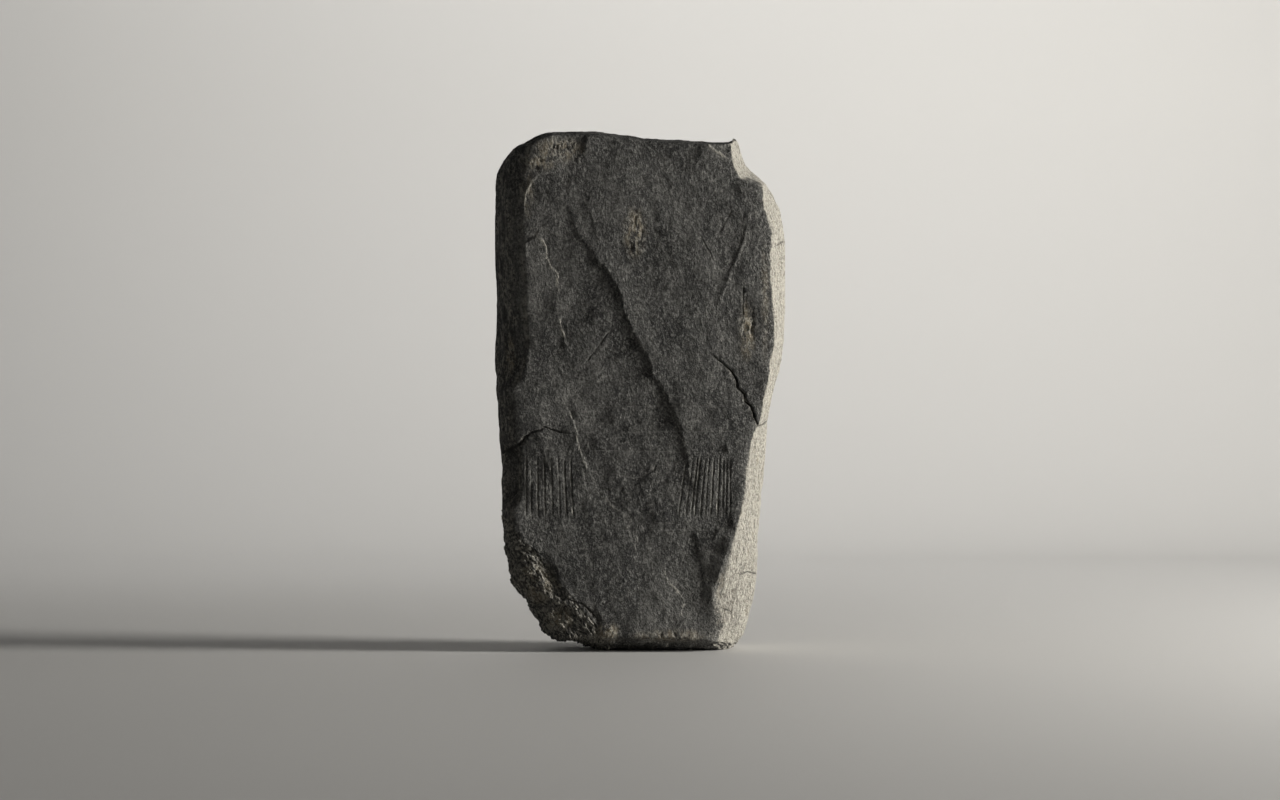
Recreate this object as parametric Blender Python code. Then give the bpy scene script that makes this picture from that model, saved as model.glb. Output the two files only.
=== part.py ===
"""Stele: an upright slab of dark schist with finely cut belt and fringe lines.

Metres, +Z up. The front looks toward -Y and X runs to the right as seen from the front.
The origin is the middle of the bounding box, on the ground.
"""

import bmesh
import bpy
import numpy as np

# Overall sizes
HEIGHT = 1.000
WIDTH = 0.563
THICKNESS = 0.220

# Drawing grid for all lines below: x from the middle line, z from the foot
GRID_WIDE = 290.0
GRID_TALL = 514.5
# The front lies nearer than the outline, so its lines are drawn this much smaller about mid height
FACE_SCALE = 0.982
FACE_MIDDLE = 0.482

# Section through the slab
WIDEST_AT = 0.46
LEFT_ROUNDING = 1.7
RIGHT_ROUNDING = 1.25
BACK_ROUNDING = 2.4
BACK_INSET = 17.0
BACK_TOP_DROP = 11.0
BACK_FOOT_RISE = 9.0
FRONT_CROWN = 0.002
FRONT_WAVE = 0.0007
BACK_CROWN = 0.012
BACK_WAVE = 0.0012
BACK_UPPER_STEP = 0.005
BACK_LOWER_STEP = 0.004
BACK_STEP_RAMP = 0.016
SIDE_LAYER = 0.0022

# Mesh fineness
CELLS_WIDE = 100
CELLS_TALL = 170
CELLS_DEEP = 14
BODY_TRIANGLES = 5000
COORDINATE_STEP = 1e-6
MERGE = 0.00005

# Cut lines: depth and half width at the surface, and how far cutters stand out
FRINGE_DEPTH = 0.0021
FRINGE_HALF = 0.0024
BELT_DEPTH = 0.0014
BELT_HALF = 0.0019
CRACK_DEPTH = 0.0055
CRACK_HALF = 0.0022
CUTTER_LIFT = 0.0030
CUTTER_PITCH = 0.012

# Outline as seen from the front
OUTLINE_LEFT = (
    (-88, 11), (-95, 19), (-104, 32), (-112, 46), (-121, 56), (-128, 66), (-131, 86),
    (-135, 108), (-137.5, 133), (-138.5, 168), (-138, 193), (-141, 223), (-143.5, 263),
    (-143.5, 308), (-143, 348), (-145, 398), (-145, 448), (-143, 473), (-137, 487), (-128, 497),
)
OUTLINE_RIGHT = (
    (96, 5), (102, 12), (108, 31), (113.5, 53), (117, 88), (118, 118), (120.5, 153),
    (123.5, 183), (125.5, 208), (126.5, 230), (132, 255), (138, 280), (142, 308), (144.5, 348),
    (144, 393), (142, 420), (138, 438), (131, 453), (125, 464), (119, 470), (110, 476.5),
    (104, 482), (101.5, 491), (99, 502), (95, 508.5),
)
OUTLINE_TOP = (
    (-128, 497), (-112, 504), (-99, 511.5), (-88, 513.7), (-50, 514.5), (-28, 512), (-8, 509),
    (20, 507), (60, 505), (88, 504.7), (95, 508.5),
)
OUTLINE_FOOT = ((-88, 11), (-70, 8), (-52, 3), (-42, -4), (0, -4), (85, -4), (96, 5))

# Edges of the front face
FRONT_LEFT = (
    (-78, 13), (-88, 25), (-97, 39), (-106, 53), (-113, 63), (-120, 73), (-123, 90), (-127, 110),
    (-129, 132), (-129, 140), (-122, 148), (-121, 196), (-125, 206), (-129, 216), (-130, 258),
    (-120, 275), (-113, 300), (-116, 345), (-119, 400), (-119, 448), (-119, 478), (-112, 500),
)
FRONT_RIGHT = (
    (73, 8), (80, 23), (76, 37), (74.5, 52), (78, 64), (85, 84), (91, 105), (97, 125),
    (103, 146), (105, 160), (107, 180), (110, 201), (112.4, 215), (120, 229), (125.7, 257),
    (129.8, 283), (133.9, 303), (133.9, 334), (129.4, 373), (129, 395), (131.8, 414),
    (123.6, 440), (122.6, 461), (100, 469), (93, 483), (90, 504),
)
FRONT_TOP = (
    (-112, 500), (-99, 509), (-88, 512), (-50, 513), (-28, 510.5), (-8, 507.5), (20, 505.5),
    (60, 503.5), (90, 504),
)
FRONT_FOOT = ((-78, 13), (-52, 11), (-20, 12), (20, 11), (50, 9), (73, 8))

# Side of the broken corner at the lower left: height range and the treads it falls back in
BREAK_TOP = 128.0
BREAK_FADE = 26.0
BREAK_TREADS = 3
# Broken shelf in the left side under the flake: height range and how deep in the slab it lies
SHELF_LOW = 143.0
SHELF_TOP = 203.0
SHELF_FADE = 14.0
SHELF_DEEP = 0.17

# Natural steps of the front: x, z and drop, walking down the face
# A drop above zero lowers the right side, one below zero lowers the left side
DROP_UNIT = 0.001
DIAGONAL = (
    (-51, 518, -2.4), (-56, 500, -2.4), (-63, 483, -2.2), (-68, 463, -2), (-69, 443, -2),
    (-66, 426, -2.2), (-57, 407, -2.4), (-44, 389, -2.8), (-33, 375, -3.2), (-23, 360, -3.8),
    (-19, 343, -4), (-13, 326, -4), (-3, 307, -4), (6, 289, -4), (13, 272, -4), (22, 258, -3.8),
    (31, 243, -3.5), (38, 226, -3), (43, 208, -2.5), (46, 190, -2), (48, 168, -1.2), (51, 143, 0),
)
# Layers of the broken lower left corner
CORNER_UPPER = (
    (-131, 126, -2.5), (-120, 113, -2.5), (-103, 95, -3), (-87, 73, -3), (-74, 58, -3),
    (-55, 36, -2.5), (-42, 20, -2), (-36, 8, -2),
)
CORNER_MIDDLE = (
    (-130, 103, -2.5), (-115, 86, -3), (-110, 68, -3), (-92, 50, -3), (-70, 41, -3), (-52, 26, -2.5),
    (-44, 8, -2),
)
CORNER_LOW = (
    (-127, 73, -3), (-118, 63, -3.5), (-103, 48, -3.5), (-92, 36, -3.5), (-87, 20, -3), (-84, 6, -3),
)
LEFT_FLAKE = (
    (-119, 394, 0.5), (-112, 402, 1.5), (-105, 408, 2), (-99, 402, 2), (-93, 396, 2.5),
    (-91, 385, 2.5), (-87, 376, 2.5), (-82, 370, 2), (-79, 356, 0),
)
LEFT_CHIP = ((-71, 342, 0), (-74, 335, 1.5), (-81, 330, 2), (-80, 322, 2), (-76, 313, 2), (-75, 303, 0))
UPPER_RIM = ((-105, 471, 0), (-111, 463, 1.5), (-115, 454, 1.5), (-116, 443, 1), (-115, 437, 0))
FLAKE_HEAD = ((-78, 263, 0), (-77, 248, 1.5), (-72, 238, 2), (-66, 228, 2), (-64, 214, 2))
FLAKE_EDGE = (
    (-64, 214, 2), (-62, 206, 2.5), (-56, 186, 2.5), (-47, 166, 2), (-43, 155, 2),
    (-32, 149, 2), (-28, 142, 2), (-18, 136, 2), (-7, 128, 2), (-13, 121, 2), (-2, 111, 2),
    (-6, 103, 1.5), (-6, 88, 0),
)
FLAKE_TAIL = (
    (19, 84, 0), (26, 68, 1.5), (36, 60, 1.5), (44, 46, 1.5), (41, 37, 1.5), (42, 28, 0),
)
FLAKE_CRACK = (
    (-136, 199, -2.5), (-128, 201, -2.5), (-120, 205, -2.2), (-115, 211, -2), (-109, 216, -1.8),
    (-100, 218, -1.5), (-88, 218, -1), (-80, 215.4, -0.5), (-64, 214, 0),
)
CORNER_CHIP = ((54, 511, 4), (60, 505, 4), (67, 500, 4), (75, 495, 4.5), (82, 489, 4.5), (93, 483, 4))
RIGHT_CURVE = (
    (105, 432, 0), (105, 423, 1), (100, 398, 1.2), (89, 377, 1), (79, 351, 0.5), (73, 337, 0),
)
# Each step with its ramp width and how far its low side reaches
STEPS = (
    (DIAGONAL, 0.011, 0.075),
    (CORNER_UPPER, 0.005, 0.300),
    (CORNER_MIDDLE, 0.005, 0.300),
    (CORNER_LOW, 0.005, 0.300),
    (LEFT_FLAKE, 0.004, 0.030),
    (LEFT_CHIP, 0.004, 0.020),
    (UPPER_RIM, 0.004, 0.020),
    (FLAKE_HEAD, 0.004, 0.030),
    (FLAKE_EDGE, 0.004, 0.040),
    (FLAKE_TAIL, 0.004, 0.030),
    (FLAKE_CRACK, 0.004, 0.060),
    (CORNER_CHIP, 0.005, 0.200),
    (RIGHT_CURVE, 0.004, 0.020),
)

# Soft ridges and valleys: x, z and height, with their half widths
LOW_RIDGE = (
    (103, 146, 0), (97, 125, 3), (91, 105, 4), (85, 84, 4.5), (78, 64, 4.5), (74.5, 52, 4.5),
    (76, 37, 3.5), (80, 23, 2), (73, 8, 1),
)
LOW_VALLEY = ((48, 143, 0), (54, 113, -2), (63, 83, -3), (65, 48, -3), (66, 23, -2))
HEAD_SWELL = ((-112, 512, 5), (-108, 490, 5), (-112, 470, 0))
LEFT_RIM = ((-128, 208, 0), (-125, 180, 1.5), (-127, 150, 2), (-124, 128, 2), (-104, 104, 1))
LEFT_RIDGE = ((-120, 470, 0), (-124, 420, 1.5), (-122, 360, 1.5), (-116, 300, 1), (-122, 262, 0))
CORNER_HOLLOW = ((-100, 92, -3), (-91, 76, -5), (-85, 62, -4))
SWELLS = (
    (LOW_RIDGE, 0.022), (LOW_VALLEY, 0.034), (HEAD_SWELL, 0.052), (LEFT_RIM, 0.024),
    (LEFT_RIDGE, 0.018), (CORNER_HOLLOW, 0.011),
)
KNOB = (87, 200, 0.007, 0.0022)

# Cut lines of the front
FRINGE_LEFT = (-114.5, -109.5, -103.0, -96.0, -88.8, -81.5, -75.3, -69.0)
FRINGE_LEFT_LEAN = 3.0
FRINGE_RIGHT = (37.5, 44.6, 50.0, 53.8, 59.5, 64.5, 70.0, 76.7, 81.7, 85.4, 89.5)
FRINGE_RIGHT_FAN = 9.0
FRINGE_TOP = 193.0
FRINGE_LOW = 129.0
BELT_LINES = (
    ((-52, 241), (22, 242), (95, 242)),
    ((-13, 215.5), (45, 217), (101, 217)),
    ((-58, 197.5), (0, 197), (73, 195)),
    ((9, 125), (40, 125)),
    ((15, 118), (80, 118.5)),
)
BUCKLE_ARC = ((-46, 176), (-29, 174.5), (-17, 172), (-5, 170), (3, 172), (13.5, 178), (17, 187))
SLANTED_LINES = (
    ((-57, 283), (-46, 297), (-33.5, 314), (-19, 326)),
    ((-19, 287), (-13, 293), (-5, 301.5)),
)
RIGHT_CRACK = (
    (70.6, 294), (87.4, 279.5), (92, 276), (96.6, 266.5), (96.6, 260.4), (103.5, 254),
    (105, 246), (110.4, 242.3), (113.5, 231), (118, 222),
)

# Stone finish
STONE_COLOUR = (0.105, 0.100, 0.090, 1.0)
STONE_ROUGHNESS = 0.85
SHARP_ANGLE = 0.6


def to_metres(points):
    """Grid points as metres on the outline plane."""
    grid = np.array(points, dtype=float)
    grid[:, 0] *= WIDTH / GRID_WIDE
    grid[:, 1] *= HEIGHT / GRID_TALL
    return grid


def to_face(points):
    """Grid points as metres on the front face."""
    flat = to_metres(points)
    flat[:, 0] *= FACE_SCALE
    middle = FACE_MIDDLE * HEIGHT
    flat[:, 1] = middle + (flat[:, 1] - middle) * FACE_SCALE
    return flat


def smooth(value):
    """Ease from 0 to 1."""
    clipped = np.clip(value, 0.0, 1.0)
    return clipped * clipped * (3.0 - 2.0 * clipped)


def measure(line, x, z):
    """Signed distance to a line and the third value of the line at the nearest place."""
    best = np.full(x.shape, np.inf)
    signed = np.zeros(x.shape)
    amount = np.zeros(x.shape)
    for first, second in zip(line[:-1], line[1:]):
        dx = second[0] - first[0]
        dz = second[1] - first[1]
        rx = x - first[0]
        rz = z - first[1]
        share = np.clip((rx * dx + rz * dz) / (dx * dx + dz * dz), 0.0, 1.0)
        gap = np.hypot(rx - share * dx, rz - share * dz)
        nearer = gap < best
        best = np.where(nearer, gap, best)
        side = np.where(dx * rz - dz * rx >= 0.0, 1.0, -1.0)
        signed = np.where(nearer, gap * side, signed)
        amount = np.where(nearer, first[2] + (second[2] - first[2]) * share, amount)
    return signed, amount


def front_relief(x, z):
    """Height of the front above its flat plane, in metres."""
    wide = x / HEIGHT
    tall = z / HEIGHT
    relief = -FRONT_CROWN * (2.0 * x / WIDTH) ** 2
    relief -= 0.4 * FRONT_CROWN * (2.0 * tall - 1.0) ** 2
    relief += FRONT_WAVE * np.sin(23.0 * wide + 9.0 * tall + 1.0) * np.sin(17.0 * tall - 5.0 * wide)
    for points, ramp, reach in STEPS:
        line = to_face(points)
        distance, drop = measure(line, x, z)
        low_side = 1.0 if sum(point[2] for point in points) > 0.0 else -1.0
        depth = distance * low_side
        shape = smooth(depth / ramp + 0.5) * np.exp(-np.maximum(depth, 0.0) / reach)
        relief -= np.abs(drop) * DROP_UNIT * shape
    for points, half in SWELLS:
        distance, rise = measure(to_face(points), x, z)
        relief += rise * DROP_UNIT * np.exp(-((distance / half) ** 2))
    knob = to_face([KNOB[:2]])[0]
    away = np.hypot(x - knob[0], z - knob[1])
    return relief + KNOB[3] * np.exp(-((away / KNOB[2]) ** 2))


def back_relief(x, z):
    """Height of the back above its flat plane: plain cleavage terraces."""
    wide = x / HEIGHT
    tall = z / HEIGHT
    relief = -BACK_CROWN * ((2.0 * x / WIDTH) ** 2 + 0.5 * (2.0 * tall - 1.0) ** 2)
    slant = tall + 0.35 * wide + 0.02 * np.sin(14.0 * wide)
    ramp = BACK_STEP_RAMP / HEIGHT
    relief -= BACK_UPPER_STEP * smooth((slant - 0.62) / ramp)
    relief -= BACK_LOWER_STEP * smooth((0.27 - slant + 0.5 * wide) / ramp)
    return relief + BACK_WAVE * np.sin(19.0 * wide + 3.0) * np.sin(13.0 * tall + 1.0)


def patch(left, right, foot, top, across, up):
    """Point of the face that four edge lines close, at shares across and up."""
    sides = []
    for edge in (left, right):
        z = edge[0, 1] + (edge[-1, 1] - edge[0, 1]) * up
        sides.append((np.interp(z, edge[:, 1], edge[:, 0]), z))
    ends = []
    for edge in (foot, top):
        x = edge[0, 0] + (edge[-1, 0] - edge[0, 0]) * across
        ends.append((x, np.interp(x, edge[:, 0], edge[:, 1])))
    point = []
    for axis in (0, 1):
        value = (1.0 - across) * sides[0][axis] + across * sides[1][axis]
        value = value + (1.0 - up) * ends[0][axis] + up * ends[1][axis]
        value = value - (1.0 - across) * (1.0 - up) * left[0, axis]
        value = value - across * (1.0 - up) * right[0, axis]
        value = value - (1.0 - across) * up * left[-1, axis]
        value = value - across * up * right[-1, axis]
        point.append(value)
    return point


def back_edges():
    """The four edge lines of the back face, set in from the outline."""
    left = to_metres([(x + BACK_INSET, z) for x, z in OUTLINE_LEFT])
    right = to_metres([(x - BACK_INSET, z) for x, z in OUTLINE_RIGHT])
    top = to_metres(OUTLINE_TOP)
    top[:, 0] = np.interp(top[:, 0], (top[0, 0], top[-1, 0]), (left[-1, 0], right[-1, 0]))
    foot = to_metres(OUTLINE_FOOT)
    foot[:, 0] = np.interp(foot[:, 0], (foot[0, 0], foot[-1, 0]), (left[0, 0], right[0, 0]))
    low = HEIGHT * BACK_FOOT_RISE / GRID_TALL
    high = HEIGHT * BACK_TOP_DROP / GRID_TALL
    for edge in (left, right, top, foot):
        share = edge[:, 1] / HEIGHT
        edge[:, 1] += low * (1.0 - share) - high * share
    return left, right, foot, top


def stair(share, treads):
    """A stair that climbs from 0 to 1 in a few treads with steep risers."""
    place = share * treads
    level = np.floor(place)
    return (level + smooth((place - level) * 2.6 - 0.8)) / treads


def shape_stone(across, deep, up):
    """Coordinates of the stone for shares across, deep and up on the surface of a unit cube."""
    outline = patch(*[to_metres(e) for e in (OUTLINE_LEFT, OUTLINE_RIGHT, OUTLINE_FOOT, OUTLINE_TOP)],
                    across, up)
    front = patch(*[to_face(e) for e in (FRONT_LEFT, FRONT_RIGHT, FRONT_FOOT, FRONT_TOP)],
                  across, up)
    back = patch(*back_edges(), across, up)
    to_front = np.clip(1.0 - deep / WIDEST_AT, 0.0, 1.0)
    to_back = np.clip((deep - WIDEST_AT) / (1.0 - WIDEST_AT), 0.0, 1.0)
    broken = smooth((BREAK_TOP * HEIGHT / GRID_TALL - outline[1]) / (BREAK_FADE * HEIGHT / GRID_TALL))
    broken = broken * (1.0 - across) ** 2
    rounding = LEFT_ROUNDING * (1.0 - across) + RIGHT_ROUNDING * across
    front_share = 1.0 - (1.0 - to_front ** rounding) ** (1.0 / rounding)
    stepped = 1.0 - stair(1.0 - to_front ** 1.1, BREAK_TREADS)
    front_share = front_share * (1.0 - broken) + stepped * broken
    low = outline[1] * GRID_TALL / HEIGHT
    shelf = smooth((low - SHELF_LOW) / SHELF_FADE) * smooth((SHELF_TOP - low) / SHELF_FADE)
    shelf = shelf * (1.0 - across) ** 2
    shelved = 1.0 - smooth((deep - SHELF_DEEP) / (0.6 * SHELF_DEEP))
    front_share = front_share * (1.0 - shelf) + shelved * shelf
    back_share = to_back ** BACK_ROUNDING
    x = outline[0] + (front[0] - outline[0]) * front_share + (back[0] - outline[0]) * back_share
    z = outline[1] + (front[1] - outline[1]) * front_share + (back[1] - outline[1]) * back_share
    between = 4.0 * deep * (1.0 - deep)
    tall = z / HEIGHT
    layers = np.sin(31.0 * deep + 2.0 * np.sin(5.0 * tall)) + 0.6 * np.sin(53.0 * deep + 9.0 * tall)
    side = np.where(across < 0.5, -1.0, 1.0) * np.where((across == 0.0) | (across == 1.0), 1.0, 0.0)
    x = x + SIDE_LAYER * side * between * (layers - 0.6)
    front_y = -0.5 * THICKNESS - front_relief(front[0], front[1])
    back_y = 0.5 * THICKNESS + back_relief(back[0], back[1])
    y = front_y + (back_y - front_y) * deep
    return np.stack([x, y, z], axis=1)


def make_block():
    """Cube grid moved onto the form of the stone."""
    form = bmesh.new()
    axes = [np.linspace(0.0, 1.0, n + 1) for n in (CELLS_WIDE, CELLS_DEEP, CELLS_TALL)]
    axes[1] = axes[1] ** 1.35
    counts = (CELLS_WIDE, CELLS_DEEP, CELLS_TALL)
    corners = {}

    def corner(place):
        if place not in corners:
            corners[place] = form.verts.new([axes[i][place[i]] for i in range(3)])
        return corners[place]

    for fixed, first, second in ((0, 1, 2), (1, 2, 0), (2, 0, 1)):
        for end in (0, counts[fixed]):
            for i in range(counts[first]):
                for j in range(counts[second]):
                    quad = []
                    for di, dj in ((0, 0), (1, 0), (1, 1), (0, 1)):
                        place = [0, 0, 0]
                        place[fixed] = end
                        place[first] = i + di
                        place[second] = j + dj
                        quad.append(corner(tuple(place)))
                    if end == 0:
                        quad.reverse()
                    form.faces.new(quad)
    mesh = bpy.data.meshes.new("stele")
    form.to_mesh(mesh)
    form.free()
    shares = np.array([vertex.co[:] for vertex in mesh.vertices], dtype=np.float64)
    placed = shape_stone(shares[:, 0], shares[:, 1], shares[:, 2])
    placed = np.round(placed / COORDINATE_STEP) * COORDINATE_STEP
    mesh.vertices.foreach_set("co", placed.ravel())
    mesh.update()
    return mesh


def groove_sections(points, depth, half):
    """Tip and two upper corners of a cutter at even places along a line, shallow at both ends."""
    line = to_face(points)
    lengths = np.hypot(*np.diff(line, axis=0).T)
    along = np.concatenate(([0.0], np.cumsum(lengths)))
    count = max(3, int(round(along[-1] / (CUTTER_PITCH * HEIGHT))) + 1)
    places = np.unique(np.concatenate((np.linspace(0.0, along[-1], count), along[1:-1])))
    x = np.interp(places, along, line[:, 0])
    z = np.interp(places, along, line[:, 1])
    run_x = np.gradient(x, places)
    run_z = np.gradient(z, places)
    run = np.hypot(run_x, run_z)
    ends = np.minimum(places, along[-1] - places) / (0.010 * HEIGHT)
    deep = depth * (0.15 + 0.85 * np.clip(ends, 0.0, 1.0))
    surface = -0.5 * THICKNESS - front_relief(x, z)
    reach = half * (deep + CUTTER_LIFT) / depth
    sections = []
    for i in range(len(places)):
        aside = (-run_z[i] / run[i] * reach[i], run_x[i] / run[i] * reach[i])
        top = surface[i] - CUTTER_LIFT
        sections.append((
            (x[i], surface[i] + deep[i], z[i]),
            (x[i] + aside[0], top, z[i] + aside[1]),
            (x[i] - aside[0], top, z[i] - aside[1]),
        ))
    return sections


def make_cutter(name, lines, depth, half, collection):
    """One object with a three sided bar along each line."""
    form = bmesh.new()
    for points in lines:
        rings = []
        for section in groove_sections(points, depth, half):
            rings.append([form.verts.new(np.round(np.array(p), 6)) for p in section])
        form.faces.new(rings[0])
        form.faces.new(list(reversed(rings[-1])))
        for near, far in zip(rings[:-1], rings[1:]):
            for i in range(3):
                j = (i + 1) % 3
                form.faces.new((near[i], far[i], far[j], near[j]))
    bmesh.ops.triangulate(form, faces=form.faces)
    bmesh.ops.recalc_face_normals(form, faces=form.faces)
    return add_cutter(name, form, collection)


def add_cutter(name, form, collection):
    """Hidden wire object from a finished form."""
    mesh = bpy.data.meshes.new(name)
    form.to_mesh(mesh)
    form.free()
    cutter = bpy.data.objects.new(name, mesh)
    cutter.hide_render = True
    cutter.display_type = "WIRE"
    collection.objects.link(cutter)
    return cutter


def make_ground(collection):
    """Box that fills the space under the ground plane."""
    form = bmesh.new()
    bmesh.ops.create_cube(form, size=1.0)
    bmesh.ops.scale(form, vec=(2.0 * WIDTH, 3.0 * THICKNESS, 0.1 * HEIGHT), verts=form.verts)
    bmesh.ops.translate(form, vec=(0.0, 0.0, -0.05 * HEIGHT), verts=form.verts)
    return add_cutter("ground", form, collection)


def cut(target, cutter):
    """Subtract a cutter from the stone and keep the result."""
    modifier = target.modifiers.new(cutter.name, "BOOLEAN")
    modifier.operation = "DIFFERENCE"
    modifier.solver = "EXACT"
    modifier.object = cutter
    keep_modifiers(target)


def keep_modifiers(target):
    """Replace the mesh of the object by its modified mesh."""
    graph = bpy.context.evaluated_depsgraph_get()
    finished = bpy.data.meshes.new_from_object(target.evaluated_get(graph))
    target.modifiers.clear()
    target.data = finished


def tidy_mesh(mesh):
    """Weld, drop slivers, triangulate, and centre the mesh on the ground."""
    form = bmesh.new()
    form.from_mesh(mesh)
    bmesh.ops.remove_doubles(form, verts=form.verts, dist=MERGE)
    bmesh.ops.dissolve_degenerate(form, edges=form.edges, dist=MERGE)
    bmesh.ops.triangulate(form, faces=form.faces)
    places = np.array([vertex.co[:] for vertex in form.verts])
    low = places.min(axis=0)
    high = places.max(axis=0)
    bmesh.ops.translate(form, vec=(-0.5 * (low[0] + high[0]), -0.5 * (low[1] + high[1]), -low[2]),
                        verts=form.verts)
    bmesh.ops.recalc_face_normals(form, faces=form.faces)
    form.to_mesh(mesh)
    form.free()


def stone_material():
    """Dark schist."""
    material = bpy.data.materials.new("stone")
    material.use_nodes = True
    shader = material.node_tree.nodes["Principled BSDF"]
    shader.inputs["Base Color"].default_value = STONE_COLOUR
    shader.inputs["Roughness"].default_value = STONE_ROUGHNESS
    shader.inputs["Metallic"].default_value = 0.0
    return material


def fringe_lines():
    """Both fringes as single lines from their top to their low end."""
    lines = []
    last = len(FRINGE_LEFT) - 1
    for i, x in enumerate(FRINGE_LEFT):
        lean = 0.5 * FRINGE_LEFT_LEAN * i / last
        lines.append(((x - lean, FRINGE_TOP), (x + lean, FRINGE_LOW)))
    last = len(FRINGE_RIGHT) - 1
    for i, x in enumerate(FRINGE_RIGHT):
        fan = FRINGE_RIGHT_FAN * (1.0 - i / last)
        lines.append(((x + fan, FRINGE_TOP), (x, FRINGE_LOW)))
    return lines


def main():
    """Build the stele in its own collection, with its cutters in another."""
    for item in list(bpy.data.objects):
        bpy.data.objects.remove(item, do_unlink=True)
    scene = bpy.context.scene
    home = bpy.data.collections.new("stele")
    cutters = bpy.data.collections.new("cutters")
    scene.collection.children.link(home)
    scene.collection.children.link(cutters)

    mesh = make_block()
    stele = bpy.data.objects.new("stele", mesh)
    home.objects.link(stele)
    decimate = stele.modifiers.new("fewer", "DECIMATE")
    decimate.ratio = BODY_TRIANGLES / (2.0 * len(mesh.polygons))
    keep_modifiers(stele)

    fringes = make_cutter("fringes", fringe_lines(), FRINGE_DEPTH, FRINGE_HALF, cutters)
    belts = make_cutter("belts", BELT_LINES, BELT_DEPTH, BELT_HALF, cutters)
    marks = make_cutter("marks", (BUCKLE_ARC,) + SLANTED_LINES, BELT_DEPTH, BELT_HALF, cutters)
    crack = make_cutter("crack", (RIGHT_CRACK,), CRACK_DEPTH, CRACK_HALF, cutters)
    for cutter in (fringes, belts, marks, crack, make_ground(cutters)):
        cut(stele, cutter)
    tidy_mesh(stele.data)

    stele.data.name = "stele"
    stele.data.materials.clear()
    stele.data.materials.append(stone_material())
    stele.data.shade_smooth()
    stele.data.set_sharp_from_angle(angle=SHARP_ANGLE)


main()
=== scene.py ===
"""Looks of the stele: a slab of dark schist with worn cut lines, natural steps, cracks and split sides."""

import logging
import math
from dataclasses import dataclass
from enum import Enum
from typing import Any, Dict, List, Optional, Sequence, Tuple, Union

import bpy
import numpy as np
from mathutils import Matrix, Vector


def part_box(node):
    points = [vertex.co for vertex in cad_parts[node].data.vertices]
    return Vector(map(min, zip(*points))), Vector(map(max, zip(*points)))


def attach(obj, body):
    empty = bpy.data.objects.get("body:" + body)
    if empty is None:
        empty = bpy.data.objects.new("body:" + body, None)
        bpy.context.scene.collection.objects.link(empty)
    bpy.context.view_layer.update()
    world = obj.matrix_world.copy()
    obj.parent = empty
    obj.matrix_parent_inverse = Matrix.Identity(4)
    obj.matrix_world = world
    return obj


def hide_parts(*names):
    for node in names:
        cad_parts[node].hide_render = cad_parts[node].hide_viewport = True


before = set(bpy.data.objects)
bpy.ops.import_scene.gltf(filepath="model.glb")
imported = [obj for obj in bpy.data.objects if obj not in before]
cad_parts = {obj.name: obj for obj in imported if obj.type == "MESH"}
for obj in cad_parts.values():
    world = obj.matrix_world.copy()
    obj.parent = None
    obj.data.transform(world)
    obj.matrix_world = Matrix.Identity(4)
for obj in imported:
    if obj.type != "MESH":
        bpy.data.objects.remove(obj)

log = logging.getLogger("stele")

Array = np.ndarray
Points = Sequence[Tuple[float, ...]]
Value = Union["Socket", float]


# Drawing grid


@dataclass(frozen=True)
class Sheet:
    """Drawing grid on which every line of the stone is drawn: x from the middle line, z from the foot."""

    height: float = 1.000
    width: float = 0.563
    thickness: float = 0.220
    grid_wide: float = 290.0
    grid_tall: float = 514.5
    face_scale: float = 0.982
    face_middle: float = 0.482

    def outline(self, points: Points) -> Array:
        """Place grid points on the plane of the outline.

        Args:
            points: Rows that start with x and z on the grid.

        Returns:
            The rows with x and z in metres.
        """
        rows = np.array(points, dtype=float)
        rows[:, 0] *= self.width / self.grid_wide
        rows[:, 1] *= self.height / self.grid_tall
        return rows

    def face(self, points: Points) -> Array:
        """Place grid points on the front face, which lies nearer than the outline.

        Args:
            points: Rows that start with x and z on the grid.

        Returns:
            The rows with x and z in metres.
        """
        rows = self.outline(points)
        rows[:, 0] *= self.face_scale
        middle = self.face_middle * self.height
        rows[:, 1] = middle + (rows[:, 1] - middle) * self.face_scale
        return rows

    def up(self, z: float) -> float:
        """Height in metres of a height on the grid."""
        return z * self.height / self.grid_tall


# Noise


def smooth(value: Array) -> Array:
    """Ease from 0 to 1."""
    clipped = np.clip(value, 0.0, 1.0)
    return clipped * clipped * (3.0 - 2.0 * clipped)


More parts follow.
